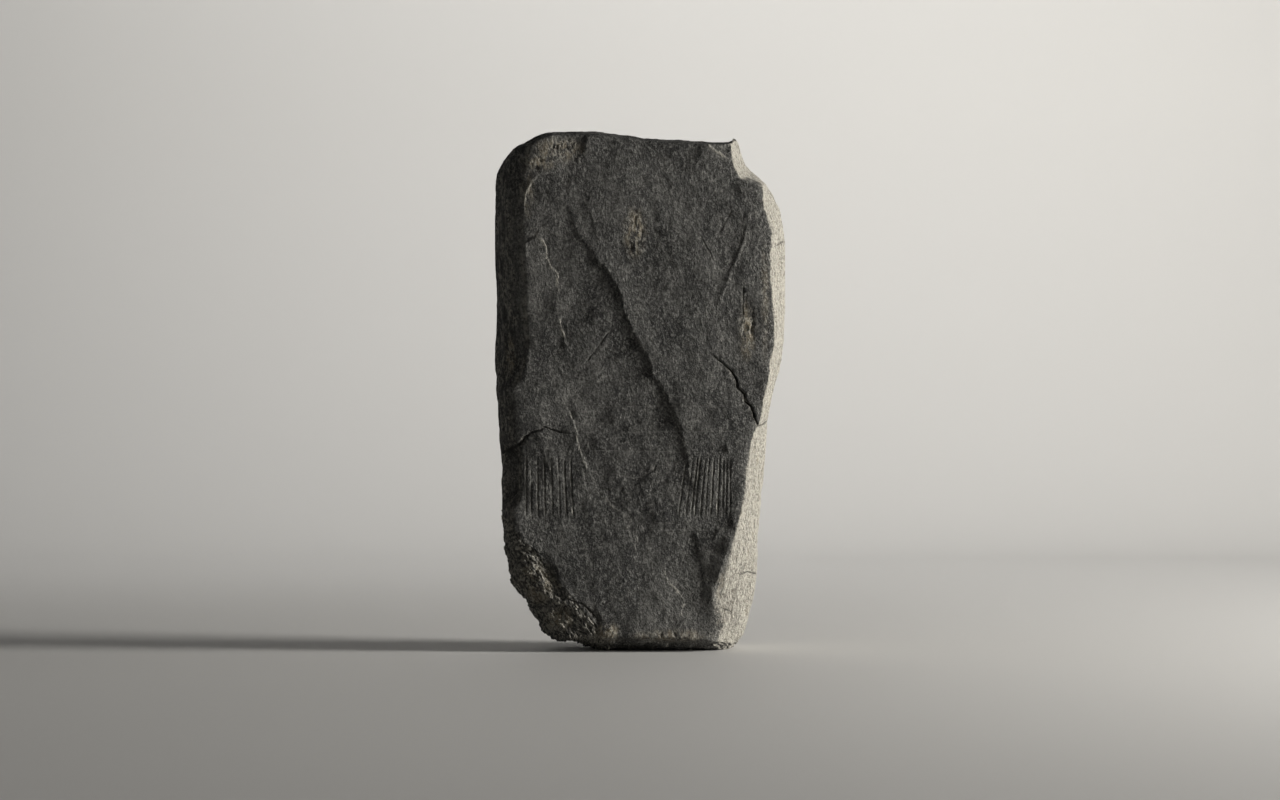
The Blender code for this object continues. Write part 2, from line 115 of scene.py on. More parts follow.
@dataclass(frozen=True)
class Noise:
    """Smooth lattice noise between -1 and 1, the same on every computer."""

    cell: Tuple[float, float, float]
    seed: int = 1
    octaves: int = 1
    gain: float = 0.5

    def _lattice(self, corner: Array, seed: int) -> Array:
        """Fixed value between -1 and 1 for each lattice corner."""
        mixed = sum(corner[..., i] * prime for i, prime in enumerate((374761393, 668265263, 1442695041)))
        mixed = (mixed + seed * 97531) & 0xFFFFFFFF
        for shift, factor in ((13, 1274126177), (16, 2246822519)):
            mixed = ((mixed ^ (mixed >> shift)) * factor) & 0xFFFFFFFF
        return ((mixed ^ (mixed >> 15)) & 0xFFFFFF) / 8388607.5 - 1.0

    def at(self, x: Array, y: Array, z: Array) -> Array:
        """Noise at points.

        Args:
            x: First coordinates in metres.
            y: Second coordinates.
            z: Third coordinates.

        Returns:
            One value between -1 and 1 for each point.
        """
        total = np.zeros(np.shape(x))
        weight, reach = 1.0, 0.0
        for octave in range(self.octaves):
            scale = 2.0 ** octave
            place = np.stack([x, y, z], axis=-1) * (scale / np.array(self.cell)) + 37.3 * self.seed
            low = np.floor(place)
            part = place - low
            part = part ** 3 * (part * (part * 6.0 - 15.0) + 10.0)
            low = low.astype(np.int64)
            value = np.zeros(np.shape(x))
            for corner in range(8):
                step = np.array([corner & 1, corner >> 1 & 1, corner >> 2 & 1])
                share = np.prod(np.where(step == 1, part, 1.0 - part), axis=-1)
                value += share * self._lattice(low + step, self.seed + 101 * octave)
            total += weight * value
            reach += weight
            weight *= self.gain
        return total / reach

    def flat(self, x: Array, z: Array) -> Array:
        """Noise on the front plane."""
        return self.at(x, np.zeros(np.shape(x)), z)


# Lines on the front


def measure(line: Array, x: Array, z: Array, reach: float) -> Tuple[Array, Array, Array]:
    """Find the nearest place of a line for each point.

    Args:
        line: Rows of x and z in metres, and any amounts.
        x: Points' first coordinates.
        z: Points' second coordinates.
        reach: Points farther from the line than this get no exact distance.

    Returns:
        Signed distance, above zero on the left hand of the walk, the amounts there, and the length walked.
    """
    signed = np.full(x.shape, 1e3)
    amount = np.zeros((line.shape[1] - 2,) + x.shape)
    walked = np.zeros(x.shape)
    near = (
        (x > line[:, 0].min() - reach) & (x < line[:, 0].max() + reach)
        & (z > line[:, 1].min() - reach) & (z < line[:, 1].max() + reach)
    )
    px, pz = x[near], z[near]
    best = np.full(px.shape, np.inf)
    found = np.full(px.shape, 1e3)
    value = np.zeros((line.shape[1] - 2,) + px.shape)
    travel = np.zeros(px.shape)
    start = 0.0
    for first, second in zip(line[:-1], line[1:]):
        dx, dz = second[0] - first[0], second[1] - first[1]
        length = math.hypot(dx, dz)
        rx, rz = px - first[0], pz - first[1]
        share = np.clip((rx * dx + rz * dz) / (length * length), 0.0, 1.0)
        gap = np.hypot(rx - share * dx, rz - share * dz)
        nearer = gap < best
        best = np.where(nearer, gap, best)
        side = np.where(dx * rz - dz * rx >= 0.0, 1.0, -1.0)
        found = np.where(nearer, gap * side, found)
        for column in range(2, line.shape[1]):
            here = first[column] + (second[column] - first[column]) * share
            value[column - 2] = np.where(nearer, here, value[column - 2])
        travel = np.where(nearer, start + share * length, travel)
        start += length
    signed[near], amount[:, near], walked[near] = found, value, travel
    return signed, amount, walked


@dataclass(frozen=True)
class Step:
    """A natural step: the surface drops on one side of a line and comes back within its reach.

    Each point of the line is x, z and the drop in millimetres, and may add how wide the ramp is there
    against the usual ramp. A share of the drop may come slowly, and the high side may swell into a rim.
    """

    points: Points
    ramp: float
    reach: float
    crisp: float = 1.0
    # How pale the broken edge is painted: partly pale stone, partly painted highlight where the lip catches
    # the light.
    pale: float = 0.0
    slow: float = 0.0
    slow_reach: float = 0.035
    rim: float = 0.0
    rim_reach: float = 0.020
    ragged: float = 0.0006

    def apply(self, sheet: Sheet, x: Array, z: Array) -> Tuple[Array, Array, Array]:
        """Depth of the step, how pale its broken edge is, partly painted highlight, and where its edge lies.

        Args:
            sheet: The drawing grid.
            x: Points' first coordinates, already warped.
            z: Points' second coordinates.

        Returns:
            Metres to lower each point by, a mask of the pale edge, partly painted highlight, and a mask of
            the whole edge.
        """
        line = sheet.face([tuple(p[:3]) + (p[3] if len(p) > 3 else 1.0,) for p in self.points])
        signed, (drop, width), walked = measure(line, x, z, 3.0 * self.reach)
        low_side = 1.0 if sum(point[2] for point in self.points) > 0.0 else -1.0
        notches = 1.0 - 2.5 * np.abs(Noise((0.017, 1.0, 1.0), 23, 4, 0.65).flat(walked, z * 0.0))
        depth = signed * low_side + self.ragged * notches
        below = np.maximum(depth, 0.0)
        ramp = self.ramp * np.maximum(width, 0.2)
        quick = 1.0 - np.exp(-below / (0.5 * ramp))
        slowly = 1.0 - np.exp(-below / self.slow_reach)
        shape = (quick + self.slow * (slowly - quick)) * np.exp(-below / self.reach)
        near = np.abs(signed) < 900.0
        strong = np.minimum(np.abs(drop) / 1.5, 1.0)
        uneven = 1.0 + 0.8 * Noise((0.032, 1.0, 1.0), 17, 3, 0.6).flat(walked, z * 0.0)
        # Pale band along the lip: partly pale stone, partly painted highlight of the lit edge.
        edge = np.exp(-((depth / np.maximum(0.6 * ramp, 0.0017)) ** 2)) * strong
        broken = smooth(0.55 + 1.3 * Noise((0.007, 1.0, 1.0), 18, 2).flat(walked, z * 0.0))
        away = np.abs(depth) / np.where(depth > 0.0, 0.5 * ramp, self.rim_reach)
        swell = self.rim * np.minimum(np.abs(drop) / 2.5, 1.2) * np.exp(-away)
        fall = np.where(near, np.abs(drop) * uneven * 0.001 * self.crisp * shape - swell, 0.0)
        whole = strong * smooth(2.0 - np.abs(depth) / (0.5 * ramp + 0.0012))
        return fall, np.where(near, edge * broken * self.pale, 0.0), np.where(near, whole, 0.0)


@dataclass(frozen=True)
class CutLine:
    """A worn cut line with a soft shoulder and an uneven bed."""

    points: Points
    depth: float
    half: float
    fade: float = 0.012
    uneven: float = 0.45
    seed: int = 5

    def apply(self, sheet: Sheet, x: Array, z: Array) -> Array:
        """Depth of the cut at each point.

        Args:
            sheet: The drawing grid.
            x: Points' first coordinates, already warped.
            z: Points' second coordinates.

        Returns:
            Metres to lower each point by.
        """
        line = sheet.face([(p[0], p[1]) for p in self.points])
        signed, _, walked = measure(line, x, z, 4.0 * self.half)
        whole = float(np.hypot(*np.diff(line[:, :2], axis=0).T).sum())
        ends = smooth(walked / self.fade) * smooth((whole - walked) / self.fade)
        bed = 1.0 + self.uneven * Noise((0.011, 1.0, 1.0), self.seed).flat(walked, z * 0.0)
        across = np.clip(np.abs(signed) / self.half, 0.0, 2.5)
        groove = np.maximum(1.0 - across, 0.0) ** 1.15
        shoulder = 0.16 * np.exp(-((across - 1.35) / 0.45) ** 2)
        return self.depth * ends * bed * (groove - shoulder)


@dataclass(frozen=True)
class Crack:
    """A narrow crack with uneven lips and painted shade inside."""

    points: Points
    depth: float
    half: float

    def apply(self, sheet: Sheet, x: Array, z: Array) -> Tuple[Array, Array]:
        """Depth of the crack and its mask of painted shade.

        Args:
            sheet: The drawing grid.
            x: Points' first coordinates, already warped.
            z: Points' second coordinates.

        Returns:
            Metres to lower each point by, and a mask of the painted shade inside.
        """
        line = sheet.face([(p[0], p[1], p[2] if len(p) > 2 else 1.0) for p in self.points])
        signed, (strength,), walked = measure(line, x, z, 0.02)
        uneven = 1.0 + 0.5 * Noise((0.006, 1.0, 1.0), 9).flat(walked, z * 0.0)
        wide = self.half * uneven * np.maximum(strength, 0.6)
        inside = np.maximum(1.0 - np.abs(signed) / wide, 0.0) * np.clip(strength, 0.0, 1.0)
        return self.depth * np.sqrt(inside), np.minimum(inside * 1.6, 1.0)


@dataclass(frozen=True)
class Ridge:
    """A thin raised edge of a layer. Each point of its line is x, z and its height in millimetres."""

    points: Points
    half: float = 0.0024

    def apply(self, sheet: Sheet, x: Array, z: Array) -> Array:
        """Height of the ridge at each point, in metres."""
        signed, (rise,), walked = measure(sheet.face(self.points), x, z, 4.0 * self.half)
        broken = 0.65 + 0.7 * Noise((0.012, 1.0, 1.0), 19, 2).flat(walked, z * 0.0)
        return rise * 0.001 * broken * np.exp(-((signed / self.half) ** 2))


def sheet_zone(spot: Array, wide: float, tall: float, x: Array, z: Array) -> Array:
    """Soft oval zone that is 1 in its middle."""
    return smooth(1.35 - np.hypot((x - spot[0]) / wide, (z - spot[1]) / tall))


# Form of the slab


@dataclass(frozen=True)
class SlabForm:
    """Large form of the slab: its outline, the edges of its front, its section and its broken parts."""

    sheet: Sheet = Sheet()
    widest_at: float = 0.46
    left_rounding: float = 1.7
    right_rounding: float = 1.25
    back_rounding: float = 2.4
    back_inset: float = 17.0
    back_top_drop: float = 11.0
    back_foot_rise: float = 9.0
    break_top: float = 128.0
    break_fade: float = 26.0
    break_treads: int = 3
    shelf_low: float = 143.0
    shelf_top: float = 203.0
    shelf_fade: float = 14.0
    shelf_deep: float = 0.17
    side_layer: float = 0.0022
    wander_start: float = 10.0

    outline_left: Points = (
        (-88, 11), (-95, 19), (-104, 32), (-112, 46), (-121, 56), (-128, 66), (-131, 86),
        (-135, 108), (-137.5, 133), (-138.5, 168), (-138, 193), (-141, 223), (-143.5, 263),
        (-143.5, 308), (-143, 348), (-145, 398), (-145, 448), (-143, 473), (-137, 487), (-128, 497),
    )
    outline_right: Points = (
        (96, 5), (102, 12), (108, 31), (113.5, 53), (117, 88), (118, 118), (120.5, 153),
        (123.5, 183), (125.5, 208), (126.5, 230), (132, 255), (138, 280), (142, 308), (144.5, 348),
        (144, 393), (142, 420), (138, 438), (131, 453), (125, 464), (119, 470), (110, 476.5),
        (104, 482), (101.5, 491), (99, 502), (95, 508.5),
    )
    outline_top: Points = (
        (-128, 497), (-112, 504), (-99, 511.5), (-88, 513.7), (-50, 514.5), (-28, 512), (-8, 509),
        (20, 507), (60, 505), (88, 504.7), (95, 508.5),
    )
    outline_foot: Points = (
        (-88, 11), (-70, 8), (-52, 3), (-42, -4), (0, -4), (85, -4), (96, 5),
    )
    front_left: Points = (
        (-78, 13), (-88, 25), (-97, 39), (-106, 53), (-113, 63), (-120, 73), (-123, 90), (-127, 110),
        (-129, 132), (-129, 140), (-122, 148), (-121, 196), (-125, 206), (-129, 216), (-130, 258),
        (-120, 275), (-113, 300), (-116, 345), (-119, 400), (-119, 448), (-119, 478), (-112, 500),
    )
    front_right: Points = (
        (73, 8), (80, 23), (76, 37), (74.5, 52), (78, 64), (85, 84), (91, 105), (97, 125),
        (103, 146), (105, 160), (107, 180), (110, 201), (112.4, 215), (120, 229), (125.7, 257),
        (129.8, 283), (133.9, 303), (133.9, 334), (129.4, 373), (129, 395), (131.8, 414),
        (123.6, 440), (122.6, 461), (100, 469), (93, 483), (90, 504),
    )
    front_top: Points = (
        (-112, 500), (-99, 509), (-88, 512), (-50, 513), (-28, 510.5), (-8, 507.5), (20, 505.5),
        (60, 503.5), (90, 504),
    )
    front_foot: Points = ((-78, 13), (-52, 11), (-20, 12), (20, 11), (50, 9), (73, 8))

    def patch(self, edges: Sequence[Array], across: Array, up: Array, ragged: float,
              seed: int) -> Tuple[Array, Array]:
        """Fill the face between four edge lines.

        Args:
            edges: Left, right, foot and top edge in metres.
            across: Shares from the left to the right edge.
            up: Shares from the foot to the top edge.
            ragged: How far the edges wander, in metres.
            seed: Seed of that wandering.

        Returns:
            x and z of each point.
        """
        left, right, foot, top = edges
        wander = Noise((0.034, 1.0, 0.034), seed, 3, 0.62)
        still = np.clip(self.wander_start * up * (1.0 - up), 0.0, 1.0)
        rim: List[Tuple[Array, Array]] = []
        for number, edge in enumerate((left, right)):
            z = edge[0, 1] + (edge[-1, 1] - edge[0, 1]) * up
            x = np.interp(z, edge[:, 1], edge[:, 0])
            rim.append((x + ragged * still * wander.flat(z * 0.0 + number, z), z))
        calm = np.clip(self.wander_start * across * (1.0 - across), 0.0, 1.0)
        ends: List[Tuple[Array, Array]] = []
        for number, edge in enumerate((foot, top)):
            x = edge[0, 0] + (edge[-1, 0] - edge[0, 0]) * across
            z = np.interp(x, edge[:, 0], edge[:, 1])
            ends.append((x, z + 0.7 * ragged * calm * wander.flat(x, x * 0.0 + number + 5.0)))
        point = []
        for axis in (0, 1):
            value = (1.0 - across) * rim[0][axis] + across * rim[1][axis]
            value = value + (1.0 - up) * ends[0][axis] + up * ends[1][axis]
            value = value - (1.0 - across) * (1.0 - up) * left[0, axis] - across * (1.0 - up) * right[0, axis]
            value = value - (1.0 - across) * up * left[-1, axis] - across * up * right[-1, axis]
            point.append(value)
        return point[0], point[1]

    def back_edges(self) -> Tuple[Array, Array, Array, Array]:
        """The four edge lines of the back, set in from the outline."""
        sheet = self.sheet
        left = sheet.outline([(x + self.back_inset, z) for x, z in self.outline_left])
        right = sheet.outline([(x - self.back_inset, z) for x, z in self.outline_right])
        top = sheet.outline(self.outline_top)
        foot = sheet.outline(self.outline_foot)
        top[:, 0] = np.interp(top[:, 0], (top[0, 0], top[-1, 0]), (left[-1, 0], right[-1, 0]))
        foot[:, 0] = np.interp(foot[:, 0], (foot[0, 0], foot[-1, 0]), (left[0, 0], right[0, 0]))
        for edge in (left, right, top, foot):
            share = edge[:, 1] / sheet.height
            edge[:, 1] += sheet.up(self.back_foot_rise) * (1.0 - share) - sheet.up(self.back_top_drop) * share
        return left, right, foot, top

    def section(self, across: Array, deep: Array, z: Array, y_noise: Array) -> Tuple[Array, Array]:
        """How far each point follows the front edges and the back edges rather than the outline.

        Args:
            across: Shares from left to right.
            deep: Shares from front to back.
            z: Heights on the outline, in metres.
            y_noise: Wander of the treads of the broken corner.

        Returns:
            Share of the front edges and share of the back edges.
        """
        sheet = self.sheet
        to_front = np.clip(1.0 - deep / self.widest_at, 0.0, 1.0)
        to_back = np.clip((deep - self.widest_at) / (1.0 - self.widest_at), 0.0, 1.0)
        left_side = (1.0 - across) ** 2
        inner = ((to_front > 0.0) & (to_front < 1.0)) * 1.0
        bend = self.left_rounding * (1.0 - across) + self.right_rounding * across
        share = 1.0 - (1.0 - to_front ** bend) ** (1.0 / bend)
        uneven = np.clip(share + 0.10 * y_noise * inner, 0.0, 1.0)
        share = share + (self.stair(uneven, 5) - share) * (0.50 * (1.0 - across) + 0.18 * across) * inner
        broken = smooth((sheet.up(self.break_top) - z) / sheet.up(self.break_fade)) * left_side
        climb = np.clip(1.0 - to_front ** 1.1 + 0.16 * y_noise * inner, 0.0, 1.0)
        share = share * (1.0 - broken) + (1.0 - self.stair(climb, self.break_treads)) * broken
        low = z * sheet.grid_tall / sheet.height + 7.0 * y_noise
        shelf = smooth((low - self.shelf_low) / self.shelf_fade)
        shelf = shelf * smooth((self.shelf_top - low) / self.shelf_fade) * left_side
        shelved = 1.0 - smooth((deep - self.shelf_deep) / (0.6 * self.shelf_deep))
        return share * (1.0 - shelf) + shelved * shelf, to_back ** self.back_rounding

    def stair(self, share: Array, treads: int) -> Array:
        """A stair that climbs from 0 to 1 in a few treads with steep risers."""
        place = share * treads
        level = np.floor(place)
        return (level + smooth((place - level) * 2.6 - 0.8)) / treads


class StoneFront:
    """Relief of the carved front: natural steps, swells, cut lines, cracks and fine cleavage."""

    crown: float = 0.002
    wave: float = 0.0007
    break_line: Points = (
        (-131, 126, -2.5), (-120, 113, -2.5), (-103, 95, -3), (-87, 73, -3), (-74, 58, -3),
        (-55, 36, -2.5), (-42, 20, -2), (-36, 8, -2),
    )
    edges: Tuple[Step, ...] = (
        Step((
            (-51, 518, -2.4, 1.4), (-56, 500, -2.2, 1.4), (-65, 483, -1.2, 1.8), (-72, 463, -0.8, 2.2),
            (-73, 443, -0.7, 2.2), (-66, 422, -1.4, 1.4), (-57, 407, -2.2, 0.8), (-44, 389, -2.8, 0.7),
            (-33, 375, -3.2, 0.6), (-23, 360, -3.8, 0.6), (-19, 343, -4, 0.6), (-13, 326, -4, 0.7),
            (-3, 307, -4, 0.8), (6, 289, -4, 0.9), (13, 272, -4, 1.1), (22, 258, -3.8, 1.2),
            (31, 243, -3.5, 1.2), (38, 226, -3, 1.2), (43, 208, -2.5, 1.2), (46, 190, -2, 1.3),
            (48, 168, -1.2, 1.4), (51, 143, 0, 1.5),
        ), 0.006, 0.150, 1.2, 0.0, 0.50, 0.035, 0.0008, 0.022, 0.0034),
        Step(break_line, 0.005, 0.300, 1.0, 0.0, 0.2, 0.030, 0.0010, 0.012, 0.0022),
        Step((
            (-130, 103, -2.5), (-115, 86, -3), (-110, 68, -3), (-92, 50, -3), (-70, 41, -3), (-52, 26, -2.5),
            (-44, 8, -2),
        ), 0.004, 0.300, ragged=0.0024),
        Step((
            (-127, 73, -3), (-118, 63, -3.5), (-103, 48, -3.5), (-92, 36, -3.5), (-87, 20, -3), (-84, 6, -3),
        ), 0.004, 0.300, ragged=0.0024),
        Step((
            (-121, 397, 0.6), (-115, 406, 1.2), (-104, 412, 1.8), (-98, 407.6, 2.4), (-94.7, 401.5, 2.6),
            (-93.4, 391.6, 2.6), (-90, 381.4, 2.4), (-83, 374.3, 2), (-83.3, 363, 0.8), (-80, 352, 0),
        ), 0.0020, 0.014, 1.0, 1.0, rim=0.0005, rim_reach=0.006, ragged=0.0014),
        Step((
            (-104, 413, 0.8), (-102, 419, 1), (-95, 424, 0.8), (-90, 430, 0),
        ), 0.0020, 0.012, 0.8, 0.4),
        Step((
            (-71, 342, 0), (-74, 335, 1.4), (-81, 330, 1.6), (-80, 322, 1.6), (-76, 313, 1.6), (-75, 303, 0),
        ), 0.0020, 0.020, 1.0, 0.6, rim=0.0003, rim_reach=0.005),
        Step((
            (-99, 475, 0), (-105, 470, 1.2), (-111, 462, 1.8), (-115, 453, 1.8), (-117, 440, 1.4),
            (-116, 433, 0),
        ), 0.0022, 0.020, 1.0, 0.8, rim=0.0006, rim_reach=0.006),
        Step((
            (-78, 263, 0), (-77, 248, 1.4), (-72, 238, 1.8), (-66, 228, 1.8), (-64, 214, 1.8),
        ), 0.0026, 0.030, 0.7, 0.0, rim=0.0003, rim_reach=0.005, ragged=0.0022),
        Step((
            (-64, 214, 1.8), (-62, 206, 2), (-56, 186, 1.6), (-47, 166, 1.4), (-43, 155, 1.8),
            (-32, 149, 1.8), (-28, 142, 1.8), (-18, 136, 1.8), (-7, 128, 1.8), (-13, 121, 1.8),
            (-2, 111, 1.8), (-6, 103, 1.4), (-6, 88, 0),
        ), 0.0026, 0.040, 0.8, 0.20, rim=0.0004, rim_reach=0.005, ragged=0.0030),
        Step((
            (19, 84, 0), (24, 78, 1.4), (26, 68, 1.4), (36, 60, 1.4), (41, 53, 1.4), (44, 46, 1.4),
            (41, 37, 1.4), (42, 28, 0),
        ), 0.0020, 0.030, 1.0, 0.7, rim=0.0003, rim_reach=0.005, ragged=0.0012),
        Step((
            (-136, 199, -2.5), (-128, 201, -2.5), (-120, 205, -2.2), (-115, 211, -2), (-109, 216, -1.8),
            (-100, 218, -1.5), (-88, 218, -1), (-80, 215.4, -0.5), (-64, 214, 0),
        ), 0.004, 0.060, rim=0.0006, rim_reach=0.008),
        Step((
            (54, 511, 3), (62.4, 509, 3), (69, 501, 3), (78, 495.5, 3.2), (85, 491, 3.2), (91, 489, 2.6),
        ), 0.0020, 0.200, 1.0, 1.4, rim=0.0006, rim_reach=0.005),
        Step((
            (51, 126, 0), (57, 105, -2.4), (63, 85, -3), (65, 65, -2.8), (64, 44, 0),
        ), 0.012, 0.060, 1.0, ragged=0.0020),
        Step((
            (106, 150, 0), (98, 130, -2.6), (88.6, 105, -3.4), (78.4, 75, -3.6), (71.3, 52.5, -2.6),
            (69, 34, 0),
        ), 0.016, 0.050, 1.0, ragged=0.0020),
        Step(((112, 444, 0), (118, 434, 1.2), (122, 432, 1.2), (126, 441, 0)), 0.0022, 0.012, 1.0, 0.5),
        Step((
            (131, 436, -1), (133, 420, -1.4), (136, 407, -1.4), (132, 390, -1), (131, 372, -1), (132, 350, 0),
        ), 0.006, 0.030, 1.0),
    )
    ridges: Tuple[Ridge, ...] = (
        Ridge((
            (109, 449, 0), (108.4, 440, 1), (106.4, 420, 1.6), (101.8, 402, 1.9), (95.4, 387.5, 1.9),
            (89, 372, 1.5), (78, 345, 0.9), (70, 328, 0),
        ), 0.0036),
        Ridge((
            (-122, 400, 0), (-121, 365, 1.6), (-119, 331, 2), (-117, 309, 2), (-115, 293, 2), (-115, 255, 0),
        ), 0.0060),
        Ridge(((95, 151, 0), (88, 137, 0.9), (82, 123, 1.1), (74, 106, 1), (66, 91, 0)), 0.0032),
        Ridge(((50, 128, 0), (58, 110, 0.6), (66, 91, 0)), 0.0030),
        Ridge(((-50, 118, 0), (-20, 122, 0.6), (14, 116, 0.8), (50, 118, 0.7), (80, 124, 0)), 0.0035),
        Ridge(((114, 440, 0), (114, 428, 0.7), (115, 408, 0.6), (113, 380, 0)), 0.0028),
        Ridge(((124, 400, 0), (123, 370, 0.7), (125, 340, 0.7), (122, 300, 0)), 0.0034),
    )
    swells: Tuple[Tuple[Points, float], ...] = (
        ((
            (103, 146, 0), (97, 125, 3), (91, 105, 4), (85, 84, 4.5), (78, 64, 4.5), (74.5, 52, 4.5),
            (76, 37, 3.5), (80, 23, 2), (73, 8, 1),
        ), 0.022),
        (((48, 143, 0), (54, 113, -2), (63, 83, -3), (65, 48, -3), (66, 23, -2)), 0.034),
        (((-112, 512, 5), (-108, 490, 5), (-112, 470, 0)), 0.052),
        (((-128, 208, 0), (-125, 180, 1.5), (-127, 150, 2), (-124, 128, 2), (-104, 104, 1)), 0.024),
        (((-120, 470, 0), (-124, 420, 1.5), (-122, 360, 1.5), (-116, 300, 1), (-122, 262, 0)), 0.018),
        (((-100, 92, -3), (-91, 76, -5), (-85, 62, -4)), 0.011),
        (((-106, 84, 1.5), (-102, 68, 3), (-96, 56, 1)), 0.010),
        (((-80, 30, 1), (-82, 16, 3)), 0.009),
        (((-31, 26, 1), (-32, 14, 4)), 0.010),
        (((-48, 40, -1), (-43, 26, -3), (-43, 8, -4)), 0.007),
    )
    knob: Tuple[float, float, float, float] = (87, 200, 0.007, 0.0034)
    fringe_left: Tuple[float, ...] = (-114.5, -109.5, -103.0, -96.0, -88.8, -81.5, -75.3, -69.0)
    fringe_left_lean: float = 3.0
    fringe_right: Tuple[float, ...] = (37.5, 44.6, 50.0, 53.8, 59.5, 64.5, 70.0, 76.7, 81.7, 85.4, 89.5)
    fringe_right_fan: float = 9.0
    fringe_top: float = 193.0
    fringe_low: float = 129.0
    fringe_deep: float = 0.0011
    fringe_swing: float = 0.0003
    warp: float = 0.0036
    fine_warp: float = 0.0008
    cleavage_lean: float = 14.0
    plate: float = 0.0003
    rough: float = 0.0008
    rolling: float = 0.0018
    dimple: float = 0.0013
    pit: float = 0.0017
    belts: Tuple[Points, ...] = (
        ((-52, 241), (22, 242), (95, 242)),
        ((-13, 215.5), (45, 217), (101, 217)),
        ((-58, 197.5), (0, 197), (73, 195)),
        ((9, 125), (40, 125)),
        ((15, 118), (80, 118.5)),
    )
    scratches: Tuple[Points, ...] = (
        ((-46, 176), (-29, 174.5), (-17, 172), (-5, 170), (3, 172), (13.5, 178), (17, 187)),
        ((-57, 283), (-46, 297), (-33.5, 314), (-19, 326)),
        ((-19, 287), (-13, 293), (-5, 301.5)),
        ((103.5, 376), (102, 326)),
        ((70.6, 369.5), (87, 366), (97, 363), (113.5, 359.5)),
        ((93.7, 442.5), (88, 431), (81.5, 420), (76, 411)),
        ((58, 415), (69, 396), (74, 384)),
    )
    cracks: Tuple[Crack, ...] = (
        Crack((
            (70.6, 294, 0.1), (79, 287, 0.5), (87.4, 279.5, 0.9), (92, 276, 1), (96.6, 266.5, 1),
            (96.6, 260.4, 1), (103.5, 254, 1), (105, 246, 1), (110.4, 242.3, 1), (112.7, 236, 1),
            (113.5, 231, 1), (116.5, 225, 1), (118, 222, 1), (122.6, 223, 1), (128, 226, 1),
        ), 0.0055, 0.0020),
        Crack((
            (-138, 195, 2), (-128, 199, 2), (-120, 205, 1.8), (-115, 211, 1.4), (-109, 216, 1),
            (-100, 218, 0.6), (-96, 221, 0.5), (-88, 218, 0.4), (-80, 215.4, 0.4), (-64, 214, 0.2),
        ), 0.0050, 0.0022),
        Crack(((-128, 100.5, 1), (-122, 90, 1), (-112.4, 82.6, 0.5)), 0.003, 0.0018),
        Crack((
            (-129, 71, 0.8), (-122, 64, 1), (-115.5, 59.6, 0.8), (-107, 54, 0.4), (-100, 46.4, 0.9),
            (-90.6, 41, 0.5), (-80, 42, 0.2),
        ), 0.004, 0.0020),
        Crack(((-76, 50, 0.2), (-66, 46, 0.9), (-58, 44, 0.5), (-48, 34, 1), (-42, 28, 0.4)), 0.004, 0.0022),
        Crack(((96, 74, 0.3), (101, 72.5, 1), (108, 74.5, 1), (118, 72, 1)), 0.0030, 0.0016),
        Crack(((79, 42, 0.3), (85, 38, 1), (89, 37, 0.9), (94, 32, 0.3)), 0.0025, 0.0014),
        Crack(((133, 400, 0.6), (138, 404, 1), (146, 409, 1)), 0.0020, 0.0012),
    )

    def __init__(self, sheet: Sheet) -> None:
        """Keep the drawing grid."""
        self.sheet = sheet

    def fringes(self) -> List[Points]:
        """Both fringes as single lines from their top to their low end."""
        lines: List[Points] = []
        last = len(self.fringe_left) - 1
        for i, x in enumerate(self.fringe_left):
            lean = 0.5 * self.fringe_left_lean * i / last
            lines.append(((x - lean, self.fringe_top + 1.5 * math.sin(5.0 * i)), (x + lean, self.fringe_low)))
        last = len(self.fringe_right) - 1
        for i, x in enumerate(self.fringe_right):
            fan = self.fringe_right_fan * (1.0 - i / last)
            lines.append(((x + fan, self.fringe_top + 2.0 * math.sin(3.0 * i)), (x, self.fringe_low)))
        return lines

    def broad(self, x: Array, z: Array) -> Array:
        """Height of the large form of the front, without its steps and cuts."""
        sheet = self.sheet
        wide, tall = x / sheet.height, z / sheet.height
        relief = -self.crown * (2.0 * x / sheet.width) ** 2 - 0.4 * self.crown * (2.0 * tall - 1.0) ** 2
        relief += self.wave * np.sin(23.0 * wide + 9.0 * tall + 1.0) * np.sin(17.0 * tall - 5.0 * wide)
        for points, half in self.swells:
            distance, (rise,), _ = measure(sheet.face(points), x, z, 4.0 * half)
            relief += rise * 0.001 * np.exp(-((distance / half) ** 2))
        return relief

    def shape(self, x: Array, z: Array) -> Tuple[Array, Dict[str, Array]]:
        """Relief of the front and the masks that its finish needs.

        Args:
            x: First coordinates on the face, in metres.
            z: Heights on the face.

        Returns:
            Height above the flat plane in metres, and masks by name.
        """
        sheet = self.sheet
        relief = self.broad(x, z)
        wander = Noise((0.026, 1.0, 0.030), 3, 4, 0.62)
        warp_x = x + self.warp * wander.flat(x, z)
        warp_z = z + self.warp * wander.flat(x + 3.0, z)
